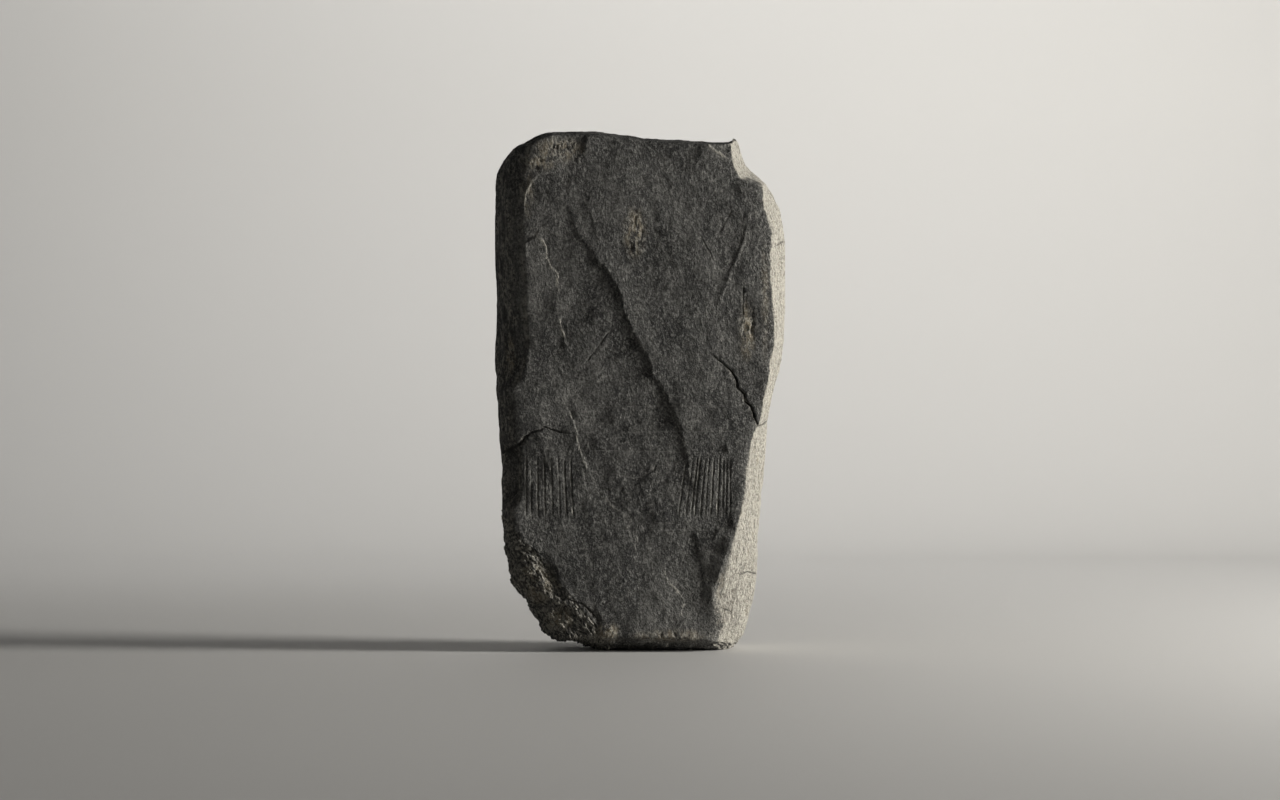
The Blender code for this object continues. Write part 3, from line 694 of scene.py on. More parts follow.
        # pale gathers the pale step edges, partly painted highlight; dark gathers the painted shade inside
        # the cracks.
        pale, dark, detail, cuts = (np.zeros(x.shape) for _ in range(4))
        for step in self.edges:
            depth, edge, whole = step.apply(sheet, warp_x, warp_z)
            relief -= depth
            pale = np.maximum(pale, edge)
            detail = np.maximum(detail, whole)
        fine_x = x + self.fine_warp * Noise((0.010, 1.0, 0.016), 4, 2).flat(x, z)
        fine_z = z + self.fine_warp * Noise((0.016, 1.0, 0.010), 6, 2).flat(x, z)
        kinds = (
            (self.fringes(), self.fringe_deep, self.fringe_swing, 0.0023, 0.014, 0.45, 20),
            (self.belts, 0.0010, 0.0, 0.0021, 0.030, 0.60, 60),
            (self.scratches, 0.0009, 0.0, 0.0019, 0.015, 0.60, 80),
        )
        for lines, deep, swing, half, fade, uneven, seed in kinds:
            for number, points in enumerate(lines):
                depth = deep + swing * math.sin(4.7 * number)
                cuts += CutLine(points, depth, half, fade, uneven, seed + number).apply(sheet, fine_x, fine_z)
        relief -= cuts
        for ridge in self.ridges:
            relief += ridge.apply(sheet, warp_x, warp_z)
        for crack in self.cracks:
            depth, inside = crack.apply(sheet, fine_x, fine_z)
            relief -= depth
            dark = np.maximum(dark, inside)
        knob = sheet.face([self.knob[:2]])[0]
        away = np.hypot(warp_x - knob[0], warp_z - knob[1])
        relief += self.knob[3] * np.exp(-((away / self.knob[2]) ** 2))
        relief += self.cleavage(x, z) + self.pits(x, z)
        cut = np.clip(cuts / 0.0013, 0.0, 1.0)
        detail = np.maximum(np.maximum(detail, dark), cut)
        return relief, {"pale": pale, "dark": dark, "cut": cut, "detail": detail}

    def broken(self, x: Array, z: Array) -> Array:
        """Where the lower left corner is broken."""
        signed, _, _ = measure(self.sheet.face([p[:2] for p in self.break_line]), x, z, 0.40)
        return smooth(0.3 - signed / 0.010)

    def cleavage(self, x: Array, z: Array) -> Array:
        """Thin plates of the split surface and its roughness, in metres."""
        lean = math.radians(self.cleavage_lean)
        along = z * math.cos(lean) - x * math.sin(lean)
        aside = x * math.cos(lean) + z * math.sin(lean)
        field = 4.0 * Noise((0.075, 1.0, 0.16), 11, 4, 0.5).flat(aside, along)
        level = np.floor(field)
        plates = self.plate * (level + smooth((field - level) * 3.0 - 1.0))
        rough = self.rough * Noise((0.0110, 1.0, 0.0150), 12, 2, 0.6).flat(aside, along)
        broad = self.rolling * Noise((0.04, 1.0, 0.05), 13, 2).flat(x, z)
        pecked = sheet_zone(self.sheet.face([(-8, 158)])[0], 0.075, 0.050, x, z)
        dimples = self.dimple * np.abs(Noise((0.012, 1.0, 0.013), 14, 2).flat(x, z)) * pecked
        return plates + rough * (1.0 + 0.5 * pecked) + broad - dimples

    def pits(self, x: Array, z: Array) -> Array:
        """Small pits where the surface is chipped, in metres."""
        field = Noise((0.0075, 1.0, 0.015), 15, 2, 0.6).flat(x, z)
        chips = smooth((field - 0.15) / 0.25)
        return -self.pit * chips * self.chipped(x, z)

    def chipped(self, x: Array, z: Array) -> Array:
        """Where the surface is chipped and brown: upper middle, edges, top left, broken corner and foot."""
        sheet = self.sheet
        zones = (
            (-5, 416, 0.020, 0.045, 1.0), (107, 318, 0.016, 0.052, 1.0), (-82, 498, 0.050, 0.022, 0.8),
            (-103, 65, 0.030, 0.040, 0.8), (32, 12, 0.070, 0.012, 0.8), (-112, 455, 0.012, 0.045, 0.5),
            (-130, 293, 0.010, 0.036, 1.0), (-78, 28, 0.030, 0.022, 0.8), (-100, 488, 0.030, 0.020, 1.0),
            (88, 45, 0.026, 0.060, 0.7), (-32, 15, 0.022, 0.020, 0.8), (125, 350, 0.008, 0.110, 0.3),
        )
        mask = np.zeros(x.shape)
        for cx, cz, wide, tall, amount in zones:
            mask = np.maximum(mask, amount * sheet_zone(sheet.face([(cx, cz)])[0], wide, tall, x, z))
        return mask


# Mesh of the stone


@dataclass
class Stele:
    """The whole stone as one closed mesh on the form of its solid."""

    form: SlabForm = SlabForm()
    cells_wide: int = 400
    cells_deep: int = 45
    cells_tall: int = 600
    back_every: int = 5
    most_triangles: int = 195000
    ragged_front: float = 0.0036
    ragged_outline: float = 0.0016
    ragged_back: float = 0.0020
    rough: float = 0.0018
    bevel: float = 0.0038
    left_bevel: float = 0.0050
    right_bevel: float = 0.0085
    corner_rough: float = 0.0030
    foot_rough: float = 0.0032
    side_crack: float = 0.0020
    back_crown: float = 0.012

    def columns(self) -> Array:
        """Shares from left to right of the lattice's columns, closer together where the fringes are."""
        even = np.linspace(0.0, 1.0, 2001)
        fringes = smooth((even - 0.07) / 0.03) * smooth((0.29 - even) / 0.03)
        fringes += smooth((even - 0.60) / 0.03) * smooth((0.88 - even) / 0.03)
        density = 1.0 + 0.6 * fringes
        walked = np.concatenate(([0.0], np.cumsum(0.5 * (density[1:] + density[:-1]))))
        return np.interp(np.linspace(0.0, walked[-1], self.cells_wide + 1), walked, even)

    def lattice(self) -> Tuple[Array, List[Array]]:
        """Corners and faces on the surface of a cube grid, with a coarser back.

        Returns:
            Integer places of the corners and a list of face arrays that index them.
        """
        counts = (self.cells_wide, self.cells_deep, self.cells_tall)
        stride = (counts[1] + 1) * (counts[2] + 1)
        faces: List[Array] = []

        def index(i: Array, j: Array, k: Array) -> Array:
            """One number for each place of the lattice."""
            return i * stride + j * (counts[2] + 1) + k

        for fixed, first, second in ((0, 1, 2), (1, 2, 0), (2, 0, 1)):
            for end in (0, counts[fixed]):
                if fixed == 1 and end > 0:
                    continue
                a, b = np.meshgrid(np.arange(counts[first]), np.arange(counts[second]), indexing="ij")
                quad = []
                for da, db in ((0, 0), (1, 0), (1, 1), (0, 1)):
                    place: List[Any] = [0, 0, 0]
                    place[fixed] = np.full(a.size, end)
                    place[first] = (a + da).ravel()
                    place[second] = (b + db).ravel()
                    quad.append(index(*place))
                if end == 0:
                    quad.reverse()
                faces.append(np.stack(quad, axis=1))
        many, sparse = self.back_faces(counts)
        back = [np.array([int(index(i, counts[1], k)) for i, k in face]) for face in sparse]
        faces.append(index(many[..., 0], counts[1], many[..., 1]))
        faces.extend(face[None, :] for face in back)
        used = np.unique(np.concatenate([f.ravel() for f in faces]))
        faces = [np.searchsorted(used, f) for f in faces]
        corners = np.stack([used // stride, used % stride // (counts[2] + 1), used % (counts[2] + 1)], axis=1)
        return corners, faces

    def back_faces(self, counts: Tuple[int, int, int]) -> Tuple[Array, List[List[Tuple[int, int]]]]:
        """Coarse faces of the back, whose rim keeps every corner of the fine sides.

        Args:
            counts: Cells across, deep and up.

        Returns:
            Plain coarse quads, and rim faces as lists of places across and up.
        """
        every = self.back_every
        quads: List[List[Tuple[int, int]]] = []
        rims: List[List[Tuple[int, int]]] = []
        for i in range(0, counts[0], every):
            for k in range(0, counts[2], every):
                i2, k2 = i + every, k + every
                ring: List[Tuple[int, int]] = []
                ring += [(i, n) for n in (range(k, k2) if i == 0 else (k,))]
                ring += [(n, k2) for n in (range(i, i2) if k2 == counts[2] else (i,))]
                ring += [(i2, n) for n in (range(k2, k, -1) if i2 == counts[0] else (k2,))]
                ring += [(n, k) for n in (range(i2, i, -1) if k == 0 else (i2,))]
                (quads if len(ring) == 4 else rims).append(ring)
        return np.array(quads), rims

    def place(self, corners: Array) -> Tuple[Array, Array, Array]:
        """Move the cube grid onto the form of the stone.

        Args:
            corners: Integer places of the corners.

        Returns:
            Points in metres, their shares from front to back, and how much fine detail each holds.
        """
        form, sheet = self.form, self.form.sheet
        across = self.columns()[corners[:, 0]]
        deep = (corners[:, 1] / self.cells_deep) ** 1.35
        up = corners[:, 2] / self.cells_tall
        edges = (form.outline_left, form.outline_right, form.outline_foot, form.outline_top)
        outline = form.patch([sheet.outline(e) for e in edges], across, up, self.ragged_outline, 31)
        edges = (form.front_left, form.front_right, form.front_foot, form.front_top)
        front = form.patch([sheet.face(e) for e in edges], across, up, self.ragged_front, 32)
        back = form.patch(form.back_edges(), across, up, self.ragged_back, 33)
        wander = Noise((0.05, 0.05, 0.05), 34, 3).at(outline[0], deep * 0.22, outline[1])
        front_share, back_share = form.section(across, deep, outline[1], wander)
        x = outline[0] + (front[0] - outline[0]) * front_share + (back[0] - outline[0]) * back_share
        z = outline[1] + (front[1] - outline[1]) * front_share + (back[1] - outline[1]) * back_share
        side = np.where(across < 0.5, -1.0, 1.0) * ((across == 0.0) | (across == 1.0))
        x = x + side * self.layers(deep, z)
        z = z + self.layers(deep, x) * ((up == 1.0) * 1.0)
        flat = StoneFront(sheet)
        coarse = flat.broad(front[0], front[1])
        on_front = deep < 0.35
        relief = coarse.copy()
        detail = np.zeros(deep.shape)
        fine, masks = flat.shape(front[0][on_front], front[1][on_front])
        fade = np.exp(-deep[on_front] * sheet.thickness / 0.012)
        relief[on_front] += (fine - coarse[on_front]) * fade
        detail[on_front] = masks["detail"] * (deep[on_front] == 0.0)
        uneven = 1.0 + 0.6 * Noise((1.0, 1.0, 0.03), 35, 3, 0.6).flat(across * 0.0, up * sheet.height)
        wide = 0.85 * sheet.width
        worn = np.exp(-across * wide / self.left_bevel) + np.exp(-(1.0 - across) * wide / self.right_bevel)
        relief -= self.bevel * uneven * worn
        front_y = -0.5 * sheet.thickness - relief
        back_y = 0.5 * sheet.thickness + self.back_relief(back[0], back[1])
        y = front_y + (back_y - front_y) * deep
        return np.stack([x, y, z], axis=1), deep, detail

    def layers(self, deep: Array, along: Array) -> Array:
        """Edges of the stone's layers on its sides, as ridges that run up the slab, in metres.

        Args:
            deep: Shares from front to back.
            along: Place along the side, in metres.

        Returns:
            How far each point stands out.
        """
        between = 4.0 * deep * (1.0 - deep)
        tall = along / self.form.sheet.height
        broad = np.sin(31.0 * deep + 2.0 * np.sin(5.0 * tall)) + 0.6 * np.sin(53.0 * deep + 9.0 * tall) - 0.6
        bent = deep + 0.012 * Noise((1.0, 1.0, 0.09), 41, 2).flat(along * 0.0, along)
        fine = Noise((0.050, 1.0, 0.22), 42, 3, 0.7).flat(bent, along)
        return self.form.side_layer * between * (broad + 0.55 * fine)

    def back_relief(self, x: Array, z: Array) -> Array:
        """Plain cleavage terraces of the back, in metres."""
        sheet = self.form.sheet
        wide, tall = x / sheet.height, z / sheet.height
        relief = -self.back_crown * ((2.0 * x / sheet.width) ** 2 + 0.5 * (2.0 * tall - 1.0) ** 2)
        slant = tall + 0.35 * wide + 0.02 * np.sin(14.0 * wide)
        slant += 0.012 * Noise((0.05, 1.0, 0.05), 51, 3).flat(x, z)
        relief -= 0.005 * smooth((slant - 0.62) / 0.016)
        relief -= 0.004 * smooth((0.27 - slant + 0.5 * wide) / 0.016)
        relief += 0.0012 * np.sin(19.0 * wide + 3.0) * np.sin(13.0 * tall + 1.0)
        return relief + 0.0012 * Noise((0.03, 1.0, 0.05), 52, 3, 0.6).flat(x, z)

    def build(self) -> bpy.types.Object:
        """Build the closed mesh with its masks.

        Returns:
            The stone as one object.
        """
        corners, faces = self.lattice()
        points, deep, detail = self.place(corners)
        mesh = mesh_from("stele_stone", points, faces)
        normals = point_normals(mesh)
        skin = Noise((0.016, 0.007, 0.022), 61, 3, 0.6).at(*points.T)
        lump = Noise((0.045, 0.03, 0.06), 62, 2).at(*points.T)
        off_front = smooth(deep / 0.03)
        push = (skin * self.rough + 1.3 * self.rough * lump) * off_front
        push += self.corner(points) * self.corner_rough + self.foot(points) * self.foot_rough
        push -= self.split_cracks(points) * self.side_crack * off_front
        points = points + normals * push[:, None]
        points = self.ground(points)
        mesh.vertices.foreach_set("co", points.ravel())
        mesh.update()
        stone = bpy.data.objects.new("stele_stone", mesh)
        bpy.context.scene.collection.objects.link(stone)
        self.fewer(stone, detail)
        self.paint(stone.data)
        stone.data.shade_smooth()
        return stone

    def ledges(self, field: Array) -> Array:
        """Turn smooth noise into ledges with steep risers."""
        level = np.floor(field)
        return level + smooth((field - level) * 3.6 - 1.3)

    def corner(self, points: Array) -> Array:
        """Rugged ledges and blocks of the broken lower left corner, which run down to the right."""
        x, y, z = points.T
        inside = StoneFront(self.form.sheet).broken(x, z) * smooth((0.03 - y) / 0.05)
        turn = math.radians(48.0)
        along, aside = x * math.cos(turn) - z * math.sin(turn), x * math.sin(turn) + z * math.cos(turn)
        blocks = self.ledges(3.0 * Noise((0.036, 0.022, 0.012), 71, 4, 0.6).at(along, y, aside))
        ridges = 1.0 - 2.0 * np.abs(Noise((0.022, 0.014, 0.007), 72, 3, 0.6).at(along, y, aside))
        return inside * (blocks + 0.9 * ridges)

    def foot(self, points: Array) -> Array:
        """Rough broken band of thin layers along the foot of the front."""
        x, y, z = points.T
        band = smooth((0.030 - z) / 0.016) * smooth((z + 0.004) / 0.004) * smooth((0.02 - y) / 0.04)
        layers = self.ledges(2.4 * Noise((0.040, 0.030, 0.0065), 73, 3, 0.6).at(x, y, z))
        return band * (0.6 * layers + 0.7 * Noise((0.012, 0.012, 0.006), 74, 2).at(x, y, z))

    def split_cracks(self, points: Array) -> Array:
        """Where the cracks of the front run on over the sides, from 0 to 1."""
        x, y, z = points.T
        inside = np.zeros(x.shape)
        for crack in StoneFront.cracks:
            inside = np.maximum(inside, crack.apply(self.form.sheet, x, z)[1])
        return inside * smooth((0.02 - y) / 0.03)

    def ground(self, points: Array) -> Array:
        """Cut the foot flat on the ground and keep the stone inside the box of its solid.

        Args:
            points: Points of the stone in metres.

        Returns:
            The points, moved into the frame of the solid.
        """
        low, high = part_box("stele")
        cut = np.maximum(points[:, 2], 0.0)
        middle = 0.5 * (points[:, 0].min() + points[:, 0].max())
        target = 0.5 * (low[0] + high[0])
        points = np.stack([points[:, 0] - middle + target, points[:, 1], cut], axis=1)
        for axis in range(3):
            points[:, axis] = np.clip(points[:, axis], low[axis], high[axis])
        return points

    def fewer(self, stone: bpy.types.Object, detail: Array) -> None:
        """Collapse the mesh to the number of triangles that the stone may have, away from its fine lines.

        Args:
            stone: The stone.
            detail: How much fine detail each point holds, from 0 to 1.
        """
        triangles = sum(len(p.vertices) - 2 for p in stone.data.polygons)
        if triangles <= self.most_triangles:
            return
        held = np.nonzero(detail > 0.5)[0]
        log.info("kept points: %d of %d", len(held), len(detail))
        group = stone.vertex_groups.new(name="kept")
        group.add(held.tolist(), 1.0, "REPLACE")
        modifier = stone.modifiers.new("fewer", "DECIMATE")
        modifier.ratio = self.most_triangles / triangles
        modifier.vertex_group = group.name
        modifier.invert_vertex_group = True
        graph = bpy.context.evaluated_depsgraph_get()
        finished = bpy.data.meshes.new_from_object(stone.evaluated_get(graph))
        stone.modifiers.clear()
        stone.vertex_groups.clear()
        stone.data = finished
        places = np.zeros(len(finished.vertices) * 3, dtype=np.float32)
        finished.vertices.foreach_get("co", places)
        low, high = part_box("stele")
        finished.vertices.foreach_set("co", np.clip(places.reshape(-1, 3), low, high).ravel())
        finished.update()

    def paint(self, mesh: bpy.types.Mesh) -> None:
        """Give the mesh the masks of its finish, worked out from each point's place and slope.

        Args:
            mesh: The finished mesh.
        """
        count = len(mesh.vertices)
        place = np.zeros(count * 3, dtype=np.float32)
        mesh.vertices.foreach_get("co", place)
        place = place.reshape(-1, 3).astype(float)
        slope = point_normals(mesh)
        x, y, z = place[:, 0], place[:, 1], place[:, 2]
        flat = StoneFront(self.form.sheet)
        face = smooth((-slope[:, 1] - 0.70) / 0.24) * smooth((-y - 0.045) / 0.03)
        _, found = flat.shape(x, z)
        right = smooth((slope[:, 0] - 0.25) / 0.4)
        near_front = smooth((0.02 - y) / 0.06)
        # Painted highlight along the ridge at the left border of the front.
        border, _, walked = measure(self.form.sheet.face(self.form.front_left), x, z, 0.02)
        border_highlight = smooth(0.35 + 1.8 * Noise((0.030, 1.0, 1.0), 75, 3, 0.6).flat(walked, z * 0.0))
        border_highlight = border_highlight * np.exp(-((border / 0.0042) ** 2)) * smooth((-y - 0.06) / 0.03)
        masks = {
            # Pale step edges, partly painted highlight, and the painted highlight of the left border.
            "pale": np.clip(np.maximum(found["pale"] * face, 0.55 * border_highlight), 0.0, 1.0),
            # Left-facing sides near the front: the finish paints them darker as painted shade and flecks them
            # with painted highlights.
            "left": smooth((-slope[:, 0] - 0.25) / 0.4) * (1.0 - face) * near_front,
            # Painted shade inside the cracks.
            "dark": np.clip(found["dark"] * smooth((0.02 - y) / 0.03), 0.0, 1.0),
            "cut": found["cut"] * face,
            "brown": flat.chipped(x, z) * smooth((0.02 - y) / 0.04),
            # Right-facing sides: cream of the split stone, partly painted light where the key lamp falls.
            "split": right * (1.0 - 0.9 * face),
            "front": face,
            "corner": flat.broken(x, z) * smooth((0.03 - y) / 0.05),
        }
        for name, mask in masks.items():
            layer = mesh.attributes.new(name, "FLOAT", "POINT")
            layer.data.foreach_set("value", mask.astype(np.float32))


def mesh_from(name: str, points: Array, faces: Sequence[Array]) -> bpy.types.Mesh:
    """Make a mesh from arrays of points and faces.

    Args:
        name: Name of the mesh.
        points: Points in metres.
        faces: Arrays of faces, each with one number of corners.

    Returns:
        The mesh.
    """
    mesh = bpy.data.meshes.new(name)
    loops = np.concatenate([f.ravel() for f in faces]).astype(np.int32)
    totals = np.concatenate([np.full(len(f), f.shape[1]) for f in faces]).astype(np.int32)
    starts = np.concatenate(([0], np.cumsum(totals)[:-1])).astype(np.int32)
    mesh.vertices.add(len(points))
    mesh.vertices.foreach_set("co", points.ravel())
    mesh.loops.add(len(loops))
    mesh.loops.foreach_set("vertex_index", loops)
    mesh.polygons.add(len(totals))
    mesh.polygons.foreach_set("loop_start", starts)
    mesh.update(calc_edges=True)
    mesh.validate()
    return mesh


def point_normals(mesh: bpy.types.Mesh) -> Array:
    """Normals of the mesh at its points, as rows."""
    normals = np.zeros(len(mesh.vertices) * 3, dtype=np.float32)
    mesh.vertex_normals.foreach_get("vector", normals)
    return normals.reshape(-1, 3).astype(float)


# Shader maths


@dataclass(frozen=True)
class Socket:
    """A value output of a node, with the operators of plain arithmetic."""

    finish: "NodeTree"
    link: bpy.types.NodeSocket

    def _math(self, operation: str, *values: Value) -> "Socket":
        """Add a Math node."""
        return self.finish.math(operation, *values)

    def __add__(self, other: Value) -> "Socket":
        """Sum."""
        return self._math("ADD", self, other)

    __radd__ = __add__

    def __mul__(self, other: Value) -> "Socket":
        """Product."""
        return self._math("MULTIPLY", self, other)

    __rmul__ = __mul__

    def __sub__(self, other: Value) -> "Socket":
        """Difference."""
        return self._math("SUBTRACT", self, other)

    def __rsub__(self, other: Value) -> "Socket":
        """Difference from a plain value."""
        return self._math("SUBTRACT", other, self)

    def between(self, low: float, high: float) -> "Socket":
        """Ease from 0 at low to 1 at high."""
        return self.finish.node(
            "ShaderNodeMapRange", {"interpolation_type": "SMOOTHSTEP", "clamp": True},
            {"Value": self, "From Min": low, "From Max": high},
        )


class NodeTree:
    """Builds the nodes of one material."""

    def __init__(self, name: str) -> None:
        """Start a material with a Principled shader."""
        self.material = bpy.data.materials.new(name)
        self.material.use_nodes = True
        self.nodes = self.material.node_tree.nodes
        self.links = self.material.node_tree.links
        self.shader = self.nodes["Principled BSDF"]

    def set(self, target: bpy.types.NodeSocket, value: Any) -> None:
        """Give a socket a value, or link one to it.

        Args:
            target: The input socket.
            value: A Socket, a tone, a number or a tuple.
        """
        if isinstance(value, Socket):
            self.links.new(value.link, target)
        else:
            target.default_value = value.value if isinstance(value, Tone) else value

    def node(self, kind: str, settings: Optional[Dict[str, Any]] = None,
             values: Optional[Dict[Any, Any]] = None, output: Union[str, int] = 0) -> Socket:
        """Add any node.

        Args:
            kind: The node's type.
            settings: Its settings, set first.
            values: Values or links of its sockets, by name or number.
            output: Name or number of the output to return.

        Returns:
            The chosen output.
        """
        made = self.nodes.new(kind)
        for key, value in (settings or {}).items():
            setattr(made, key, value)
        for key, value in (values or {}).items():
            self.set(made.inputs[key], value)
        return Socket(self, made.outputs[output])

    def math(self, operation: str, *values: Value) -> Socket:
        """Add a Math node with one to three values."""
        return self.node("ShaderNodeMath", {"operation": operation}, dict(enumerate(values)))

    def coats(self, base: Any, coats: Sequence[Tuple[Value, Any]]) -> Any:
        """Lay colours over a base, one after another.

        Args:
            base: Tone or link at the bottom.
            coats: How much of each colour covers what is below, and the tone or link.

        Returns:
            The blended colour.
        """
        settings = {"data_type": "RGBA", "blend_type": "MIX", "clamp_factor": True}
        for share, colour in coats:
            base = self.node("ShaderNodeMix", settings, {0: share, 6: base, 7: colour}, 2)
        return base

    def mask(self, name: str) -> Socket:
        """Read a mask of the mesh."""
        return self.node("ShaderNodeAttribute", {"attribute_name": name}, None, "Fac")

    def place(self, scale: Tuple[float, float, float], turn: float = 0.0) -> Socket:
        """The point on the object, scaled, after a turn about the depth axis in degrees."""
        point = self.node("ShaderNodeTexCoord", None, None, "Object")
        turned = self.node("ShaderNodeMapping", {"vector_type": "POINT"},
                           {"Vector": point, "Rotation": (0.0, math.radians(turn), 0.0)})
        return self.node("ShaderNodeVectorMath", {"operation": "MULTIPLY"}, {0: turned, 1: scale})

    def noise(self, scale: Tuple[float, float, float], detail: float = 2.0, rough: float = 0.5,
              turn: float = 0.0, warp: float = 0.0) -> Socket:
        """Noise with its own stretch and turn.

        Args:
            scale: Cells per metre along each axis.
            detail: Octaves.
            rough: Strength of the finer octaves.
            turn: Turn about the depth axis in degrees.
            warp: Distortion.

        Returns:
            Value between 0 and 1.
        """
        return self.node("ShaderNodeTexNoise", {"noise_dimensions": "3D"}, {
            "Vector": self.place(scale, turn), "Scale": 1.0, "Detail": detail, "Roughness": rough,
            "Distortion": warp,
        })


class Tone(Enum):
    """Base colours of the stone, linear."""

    SLATE = (0.090, 0.088, 0.081, 1.0)
    SLATE_DARK = (0.020, 0.0195, 0.018, 1.0)
    SLATE_LIGHT = (0.320, 0.312, 0.286, 1.0)
    # Cream of the split right side, made pale enough to carry painted light as well.
    SPLIT = (0.600, 0.568, 0.488, 1.0)
    SPLIT_GREY = (0.150, 0.142, 0.124, 1.0)
    BROWN = (0.320, 0.268, 0.185, 1.0)
    RUST = (0.110, 0.075, 0.048, 1.0)
    # Pale edges and flecks: partly stone colour, partly painted highlight.
    PALE_EDGE = (0.460, 0.435, 0.365, 1.0)
    # Painted shade inside the cracks.
    GROOVE = (0.018, 0.017, 0.015, 1.0)


@dataclass(frozen=True)
class SchistFinish:
    """Dark fine-grained schist: flecked grain, mottles and brown chips, with a pale split right side that is
    partly painted light, a left side darkened as painted shade, painted highlights on edges and painted shade
    in the cracks.
    """

    lean: float = 12.0
    grain_bump: float = 0.0066
    fleck_height: float = 1.4
    coarse_height: float = 1.6
    fine_height: float = 0.8
    streak_height: float = 0.3
    roughness: float = 0.78
    roughness_spread: float = 0.16
    fleck_shine: float = 0.10
    specular: float = 0.35

    def material(self) -> bpy.types.Material:
        """Build the material.

        Returns:
            The material of the stone.
        """
        tree = NodeTree("schist")
        fleck = tree.noise((215.0, 215.0, 150.0), 3.0, 0.68, self.lean)
        coarse = tree.noise((84.0, 84.0, 60.0), 5.0, 0.70, self.lean)
        fine = tree.noise((480.0, 480.0, 360.0), 2.0, 0.6)
        mottle = tree.noise((26.0, 26.0, 17.0), 4.0, 0.62, 0.0, 0.6)
        cloud = tree.noise((5.5, 5.5, 4.0), 3.0, 0.5)
        patch = tree.noise((60.0, 60.0, 30.0), 4.0, 0.65, self.lean, 0.4)
        streak = tree.noise((130.0, 240.0, 14.0), 3.0, 0.6)

        front, split, left, corner, cut, pale, dark, brown = (
            tree.mask(name) for name in ("front", "split", "left", "corner", "cut", "pale", "dark", "brown"))

        tone = tree.coats(Tone.SLATE_DARK, (
            (mottle.between(0.38, 0.60), Tone.SLATE),
            (cloud.between(0.45, 0.70) * 0.30, Tone.SLATE_LIGHT),
            (fleck.between(0.50, 0.65) * 0.62, Tone.SLATE_LIGHT),
            ((1.0 - fleck.between(0.36, 0.48)) * 0.66, Tone.SLATE_DARK),
            (fine.between(0.52, 0.64) * 0.30, Tone.SLATE_LIGHT),
            ((1.0 - fine.between(0.36, 0.48)) * 0.45, Tone.SLATE_DARK),
            # Painted shade: the left-facing side is darkened.
            (left * (1.0 - patch.between(0.36, 0.56)) * 0.60, Tone.SLATE_DARK),
            # Painted highlights: pale flecks on the shaded left side.
            (left * patch.between(0.44, 0.62) * fleck.between(0.42, 0.58) * 0.75, Tone.PALE_EDGE),
            (corner * fleck.between(0.46, 0.60) * 0.6, Tone.PALE_EDGE),
            (cut * 0.55, Tone.SLATE_LIGHT),
            (brown * patch.between(0.44, 0.60) * 0.80, Tone.BROWN),
            # Pale flecks of the chipped zones; on the top-left patch and the left strip they are partly
            # painted highlight.
            (brown * fleck.between(0.49, 0.58) * 0.80, Tone.PALE_EDGE),
            (brown * (1.0 - patch.between(0.30, 0.46)) * 0.5, Tone.RUST),
            # Pale step edges and left border, partly painted highlight.
            (pale * (0.20 + fleck.between(0.40, 0.56) * 0.9), Tone.PALE_EDGE),
        ))
        grained = fleck.between(0.38, 0.58) * 0.50 + fine.between(0.38, 0.58) * 0.35
        # Colour of the right-facing side: split stone, partly painted light.
        side = tree.coats(Tone.SPLIT_GREY, (
            (grained + streak.between(0.40, 0.64) * 0.15, Tone.SPLIT),
            (patch.between(0.56, 0.72) * 0.35, Tone.BROWN),
            (brown * patch.between(0.40, 0.56) * 0.70, Tone.SPLIT_GREY),
            (brown * mottle.between(0.50, 0.57) * 0.80, Tone.SPLIT_GREY),
            (brown * (1.0 - fleck.between(0.36, 0.48)) * 0.60, Tone.RUST),
        ))
        shine = self.fleck_shine * fleck.between(0.55, 0.75)
        height = fleck * self.fleck_height + coarse * self.coarse_height + fine * self.fine_height
        height = height + streak * (1.0 - front) * self.streak_height
        bump = {"Strength": 1.0, "Distance": self.grain_bump, "Height": height}
        for name, value in (
            # Base colour with the painted light of the right side and the painted shade of the cracks.
            ("Base Color", tree.coats(tone, ((split, side), (dark * 0.9, Tone.GROOVE)))),
            ("Roughness", self.roughness + self.roughness_spread * (mottle - 0.5) - shine),
            ("Metallic", 0.0),
            ("Specular IOR Level", self.specular),
            ("Normal", tree.node("ShaderNodeBump", None, bump)),
        ):
            tree.set(tree.shader.inputs[name], value)
        return tree.material


@dataclass(frozen=True)
class FloorFinish:
    """Plain pale floor."""

    colour: Tuple[float, float, float, float] = (0.62, 0.61, 0.59, 1.0)
    roughness: float = 0.7

    def material(self) -> bpy.types.Material:
        """Build the floor's material."""
        tree = NodeTree("pale_floor")
        tree.shader.inputs["Base Color"].default_value = self.colour
        tree.shader.inputs["Roughness"].default_value = self.roughness
        return tree.material


# Studio


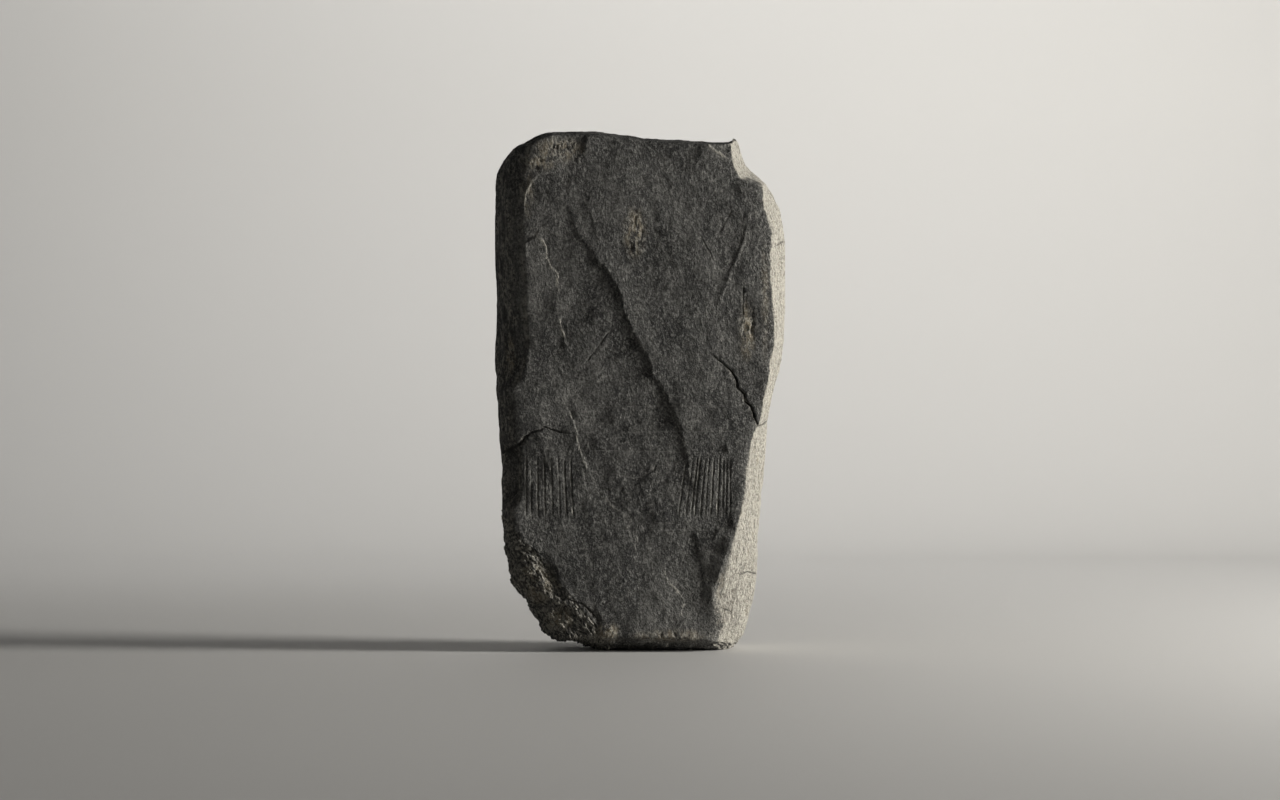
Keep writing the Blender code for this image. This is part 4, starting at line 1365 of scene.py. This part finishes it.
@dataclass
class Studio:
    """Plain pale floor, soft light that grazes the front from the right, and the camera."""

    camera_far: float = 6.0
    camera_high: float = 0.482
    picture_wide: float = 2.488
    sensor: float = 36.0
    floor_size: float = 30.0
    back_wall: float = 5.0

    def floor(self) -> None:
        """Floor that sweeps up behind the stone."""
        bend, steps = 1.6, 18
        profile = [(-9.0, 0.0), (self.back_wall - bend, 0.0)]
        for i in range(1, steps + 1):
            angle = 0.5 * math.pi * i / steps
            profile.append((self.back_wall - bend + bend * math.sin(angle), bend - bend * math.cos(angle)))
        profile.append((self.back_wall, 9.0))
        half = 0.5 * self.floor_size
        points = np.array([(x, y, z) for y, z in profile for x in (-half, half)])
        quads = np.array([(2 * i, 2 * i + 1, 2 * i + 3, 2 * i + 2) for i in range(len(profile) - 1)])
        mesh = mesh_from("floor", points, [quads])
        mesh.shade_smooth()
        mesh.materials.append(FloorFinish().material())
        floor = bpy.data.objects.new("floor", mesh)
        bpy.context.scene.collection.objects.link(floor)

    def lamp(self, name: str, at: Tuple[float, float, float], size: Tuple[float, float], power: float,
             colour: Tuple[float, float, float] = (1.0, 1.0, 1.0),
             aim: Tuple[float, float, float] = (0.0, 0.0, 0.5)) -> None:
        """Add a soft area light.

        Args:
            name: Its name.
            at: Its place in metres.
            size: Its width and height.
            power: Its power in watts.
            colour: Its colour.
            aim: The point that it looks at, the middle of the stone unless given.
        """
        data = bpy.data.lights.new(name, "AREA")
        data.shape = "RECTANGLE"
        data.size, data.size_y = size
        data.energy = power
        data.color = colour
        light = bpy.data.objects.new(name, data)
        light.location = at
        light.rotation_euler = (Vector(aim) - Vector(at)).to_track_quat("-Z", "Y").to_euler()
        bpy.context.scene.collection.objects.link(light)

    def lights(self) -> None:
        """Key that rakes the front from the right, weak fill from the left, a lit wall and a dim surround."""
        self.lamp("key", (5.0, -0.75, 1.2), (1.2, 2.4), 500.0, (1.0, 0.98, 0.94))
        self.lamp("fill", (-4.6, -1.3, 1.5), (1.0, 1.5), 9.0)
        self.lamp("wall", (0.0, 2.6, 3.4), (5.0, 0.8), 60.0, aim=(0.0, 5.0, 1.4))
        world = bpy.data.worlds.new("surround")
        world.use_nodes = True
        world.node_tree.nodes["Background"].inputs["Color"].default_value = (0.95, 0.97, 1.0, 1.0)
        world.node_tree.nodes["Background"].inputs["Strength"].default_value = 0.03
        bpy.context.scene.world = world

    def camera(self) -> None:
        """Level camera that looks straight at the front."""
        data = bpy.data.cameras.new("camera")
        data.sensor_width = self.sensor
        data.lens = self.sensor * self.camera_far / self.picture_wide
        data.clip_end = 60.0
        camera = bpy.data.objects.new("camera", data)
        camera.location = (0.0, -self.camera_far, self.camera_high)
        camera.rotation_euler = (math.radians(90.0), 0.0, 0.0)
        bpy.context.scene.collection.objects.link(camera)
        bpy.context.scene.camera = camera

    def tones(self) -> None:
        """Plain picture tones."""
        view = bpy.context.scene.view_settings
        view.view_transform = "Standard"
        view.look = "None"
        view.exposure = 0.0

    def build(self) -> None:
        """Build the whole studio."""
        self.floor()
        self.lights()
        self.camera()
        self.tones()


def main() -> None:
    """Build the studio and the stone."""
    logging.basicConfig(level=logging.INFO, format="%(name)s: %(message)s")
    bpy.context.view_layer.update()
    Studio().build()
    stone = Stele().build()
    stone.data.materials.clear()
    stone.data.materials.append(SchistFinish().material())
    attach(stone, "root")
    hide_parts("stele")
    log.info("stone: %d points, %d faces", len(stone.data.vertices), len(stone.data.polygons))


if __name__ == "__main__":
    main()
